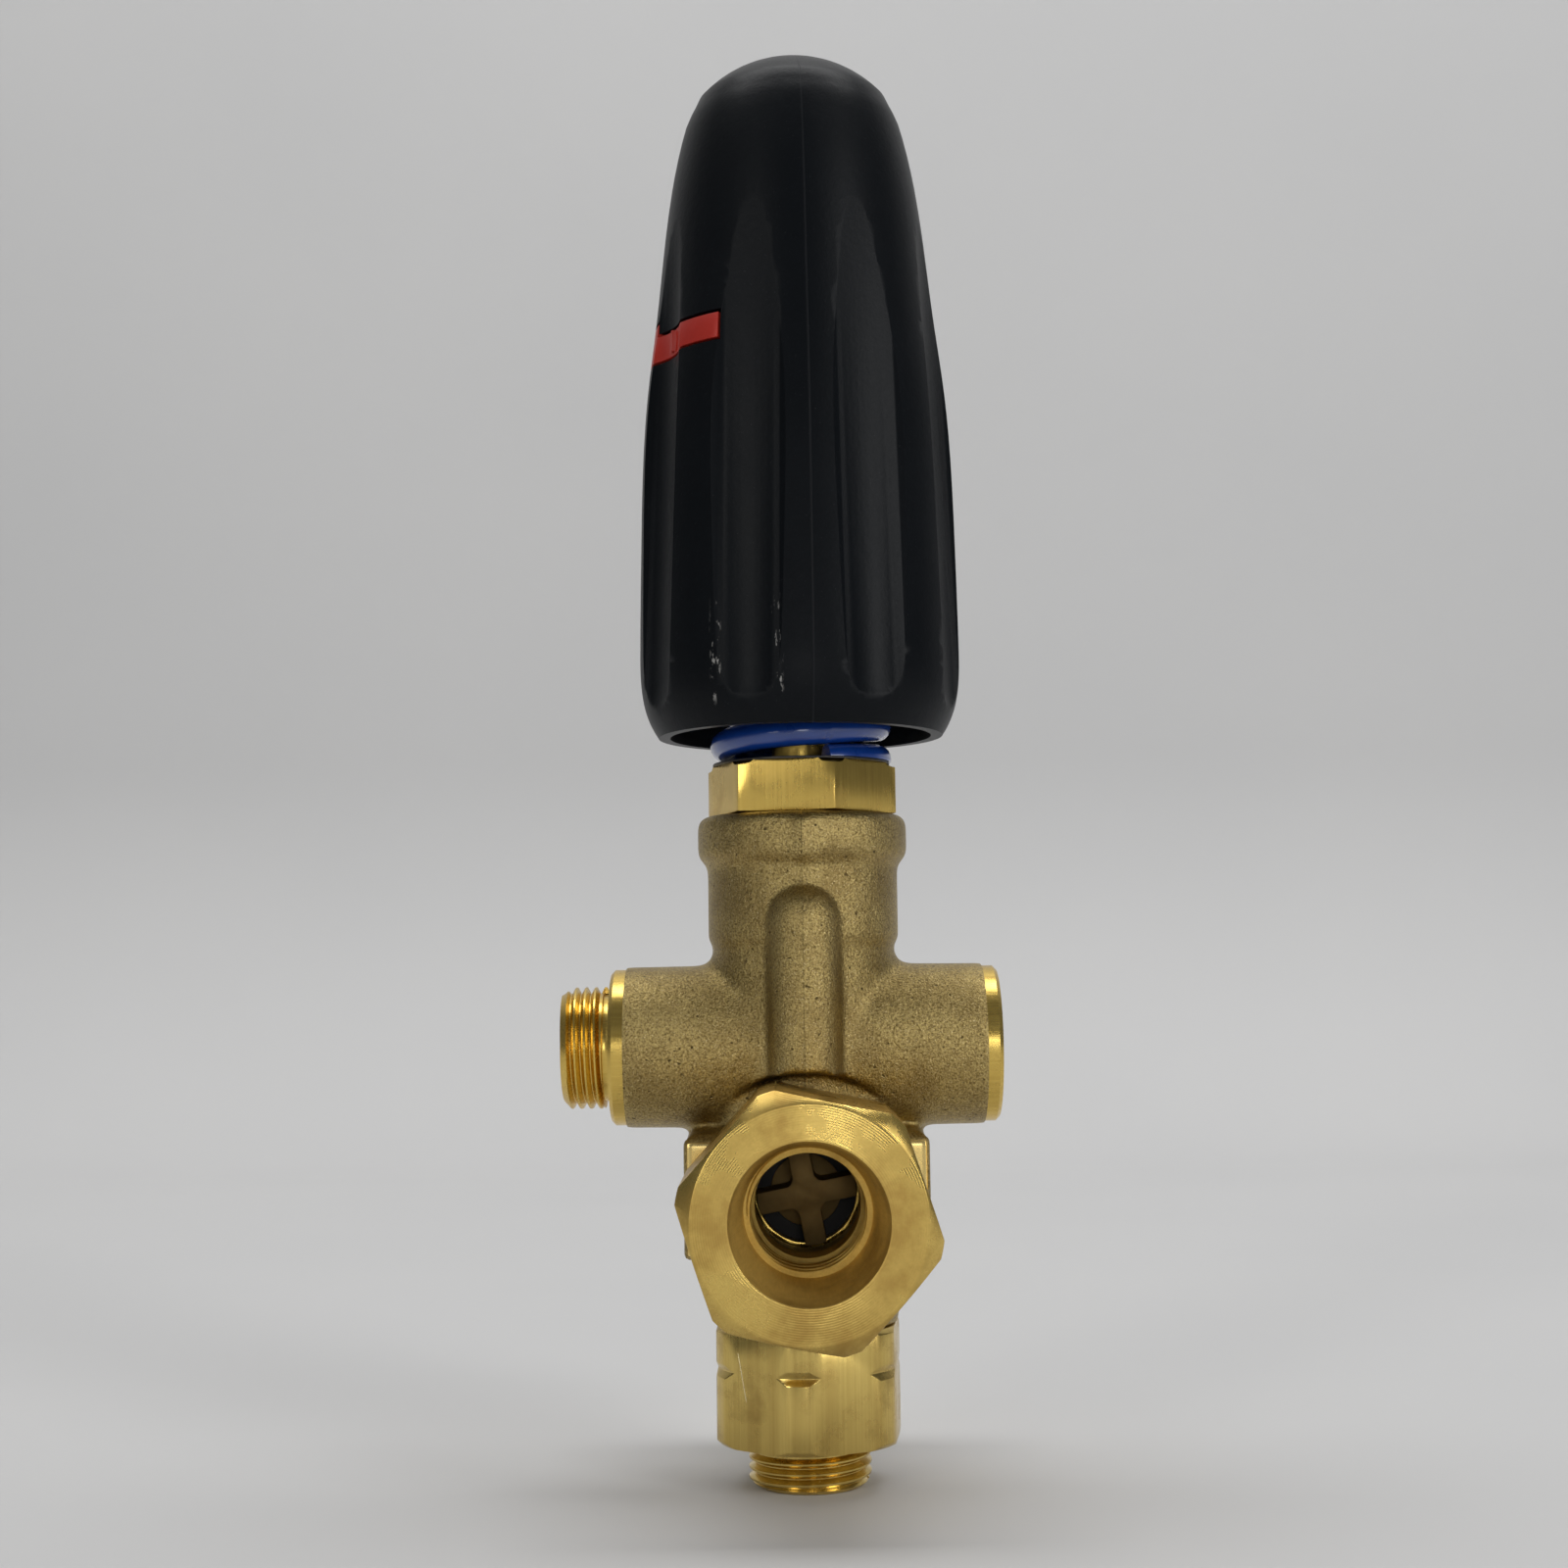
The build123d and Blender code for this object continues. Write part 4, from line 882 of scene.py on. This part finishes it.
# ------------------------------------------------------------------ knob
# One glass-filled nylon moulding, closed at the crown, with eight soft flutes for the fingers.
# Two mould halves leave a thin parting line, and the flutes' lower edges have rubbed pale.
def knob_nylon():
    finish = Finish("black_nylon", Specular_IOR_Level=0.12)
    fine = finish.noise(2600, 2.0, 0.6)
    coarse = finish.noise(900, 2.0, 0.5)
    dust = finish.noise(3800, 1.0, 0.5).step(0.72, 0.80)
    handled = finish.noise(60, 4.0, 0.6)
    line = radians(4.3)
    scuff_foot = 98 * mm
    scuff_top = 113 * mm
    off_line = (finish.x * cos(line) + finish.y * sin(line)).size()
    parting = 1.0 - off_line.step(0.05 * mm, 0.16 * mm)
    above_foot = finish.z.step(scuff_foot, scuff_foot + 2 * mm)
    low = above_foot * (1.0 - finish.z.step(scuff_top - 5 * mm, scuff_top))
    front = 1.0 - finish.y.step(-16 * mm, -12 * mm)
    first_edge = 1.0 - (finish.x + 3.0 * mm).size().step(0.25 * mm, 0.9 * mm)
    second_edge = 1.0 - (finish.x + 11.2 * mm).size().step(0.25 * mm, 0.9 * mm)
    scuffs = finish.noise(1.0, 3.0, 0.7, finish.stretched((1100, 1100, 420))).step(0.56, 0.66)
    rubbed = (first_edge + second_edge) * low * front * scuffs
    base = finish.blend(handled, colour(0.0018, 0.0027, 0.0040), colour(0.0038, 0.0052, 0.0070))
    lined = finish.blend(parting * 0.35, base, colour(0.020, 0.021, 0.024))
    dusty = finish.blend(dust * 0.25, lined, colour(0.055, 0.057, 0.06))
    worn = finish.blend(rubbed * 0.7, dusty, colour(0.45, 0.44, 0.42))
    rough = handled * 0.10 + fine * 0.10 + 0.30
    grain = finish.bump(fine * 0.5 + coarse * 0.6, 0.035 * mm)
    normal = finish.bump(parting, 0.05 * mm, grain)
    return finish.feed(Base_Color=worn, Roughness=rough, Normal=normal)


crown_settling = 1.4 * mm
crown_depth = 12 * mm
dome_depth = 6 * mm
knob_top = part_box("knob")[1].z
knob_shape = cad_shape("knob")
for vert in knob_shape.verts:
    share = min(max((crown_depth - (knob_top - vert.co.z)) / (crown_depth - dome_depth), 0), 1)
    vert.co.z -= crown_settling * share * share * (3 - 2 * share)
add_piece("knob_shell", knob_shape, "knob", "knob", knob_nylon(), 36)


# ------------------------------------------------------------------ lock clip
# A red nylon fork, moulded in one piece and pushed into the knob's slot from the side.
# It keeps the knob from coming off its bush.
def clip_nylon():
    finish = Finish("red_nylon", Specular_IOR_Level=0.45)
    flow = finish.noise(240, 3.0, 0.5)
    fine = finish.noise(2400, 2.0, 0.6)
    base = finish.blend(flow, colour(0.36, 0.016, 0.009), colour(0.50, 0.030, 0.016))
    return finish.feed(
        Base_Color=base, Roughness=flow * 0.12 + 0.36, Normal=finish.bump(fine, 0.02 * mm)
    )


clip_shape = soften(cad_shape("knob_lock_clip"), 0.15 * mm, 40)
add_piece("red_clip", clip_shape, "lock_clip", "knob_lock_clip", clip_nylon())


# ------------------------------------------------------------------ floor, backdrop and light
# A pale paper sheet curves up behind the valve. Two softboxes stand in front, left and right, with
# a small lamp between them low down and a wide one over the sheet.
def sheet_paper():
    finish = Finish("pale_sheet", Roughness=0.75, Specular_IOR_Level=0.3)
    tone = finish.noise(6, 2.0, 0.5)
    return finish.feed(Base_Color=finish.blend(tone, colour(0.62, 0.62, 0.62), colour(0.67, 0.665, 0.66)))


floor_height = cad_bounds[0].z - 0.05 * mm
bend_radius = 0.16
half_width = 1.6
back_y = 0.62
front_y = -1.2
back_rise = 1.4
sheet_shape = bmesh.new()
left = sheet_shape.verts.new((-half_width, front_y, floor_height))
right = sheet_shape.verts.new((half_width, front_y, floor_height))
edge = sheet_shape.edges.new((left, right))


def extend(shape, edge, move):
    """Draws the sheet's edge out by a vector and returns the new edge."""
    made = bmesh.ops.extrude_edge_only(shape, edges=[edge])["geom"]
    verts = [item for item in made if isinstance(item, bmesh.types.BMVert)]
    bmesh.ops.translate(shape, vec=move, verts=verts)
    edges = [item for item in made if isinstance(item, bmesh.types.BMEdge)]
    return next(item for item in edges if all(vert in verts for vert in item.verts))


edge = extend(sheet_shape, edge, (0, back_y - bend_radius - front_y, 0))
curved = bmesh.ops.spin(
    sheet_shape, geom=[edge, *edge.verts], cent=(0, back_y - bend_radius, floor_height + bend_radius),
    axis=(1, 0, 0), angle=radians(90), steps=24, use_duplicate=False,
)["geom_last"]
edge = next(item for item in curved if isinstance(item, bmesh.types.BMEdge))
extend(sheet_shape, edge, (0, 0, back_rise))
bmesh.ops.recalc_face_normals(sheet_shape, faces=sheet_shape.faces)
for face in sheet_shape.faces:
    face.smooth = True
studio_sheet = made_object("studio_sheet", sheet_shape)
studio_sheet.data.materials.append(sheet_paper())


def add_lamp(name, place, aim, width, height, power, tint=(1, 1, 1)):
    """A soft rectangular lamp that stands at a place and is turned towards its aim."""
    lamp = bpy.data.lights.new(name, "AREA")
    lamp.shape = "RECTANGLE"
    lamp.size = width
    lamp.size_y = height
    lamp.energy = power
    lamp.color = tint
    holder = bpy.data.objects.new(name, lamp)
    holder.location = place
    holder.rotation_euler = (Vector(aim) - Vector(place)).to_track_quat("-Z", "Y").to_euler()
    scene.collection.objects.link(holder)


middle = (0, 0, 0.09)
add_lamp("front_left_softbox", (-0.66, -0.98, 0.44), middle, 0.26, 0.70, 2.3, (1.0, 0.99, 0.96))
add_lamp("front_right_softbox", (0.85, -0.80, 0.45), middle, 0.34, 0.75, 4.8)
add_lamp("near_lamp", (0.03, -0.62, 0.10), (0, 0, 0.035), 0.14, 0.10, 0.22)
add_lamp("sheet_light", (0.0, 0.15, 1.45), (0, 0.60, 0.0), 1.6, 0.5, 13)

studio = bpy.data.worlds.new("studio")
studio.use_nodes = True
sky = studio.node_tree.nodes["Background"].inputs
sky["Color"].default_value = colour(0.75, 0.77, 0.80)
sky["Strength"].default_value = 0.16
scene.world = studio
scene.view_settings.view_transform = "Standard"
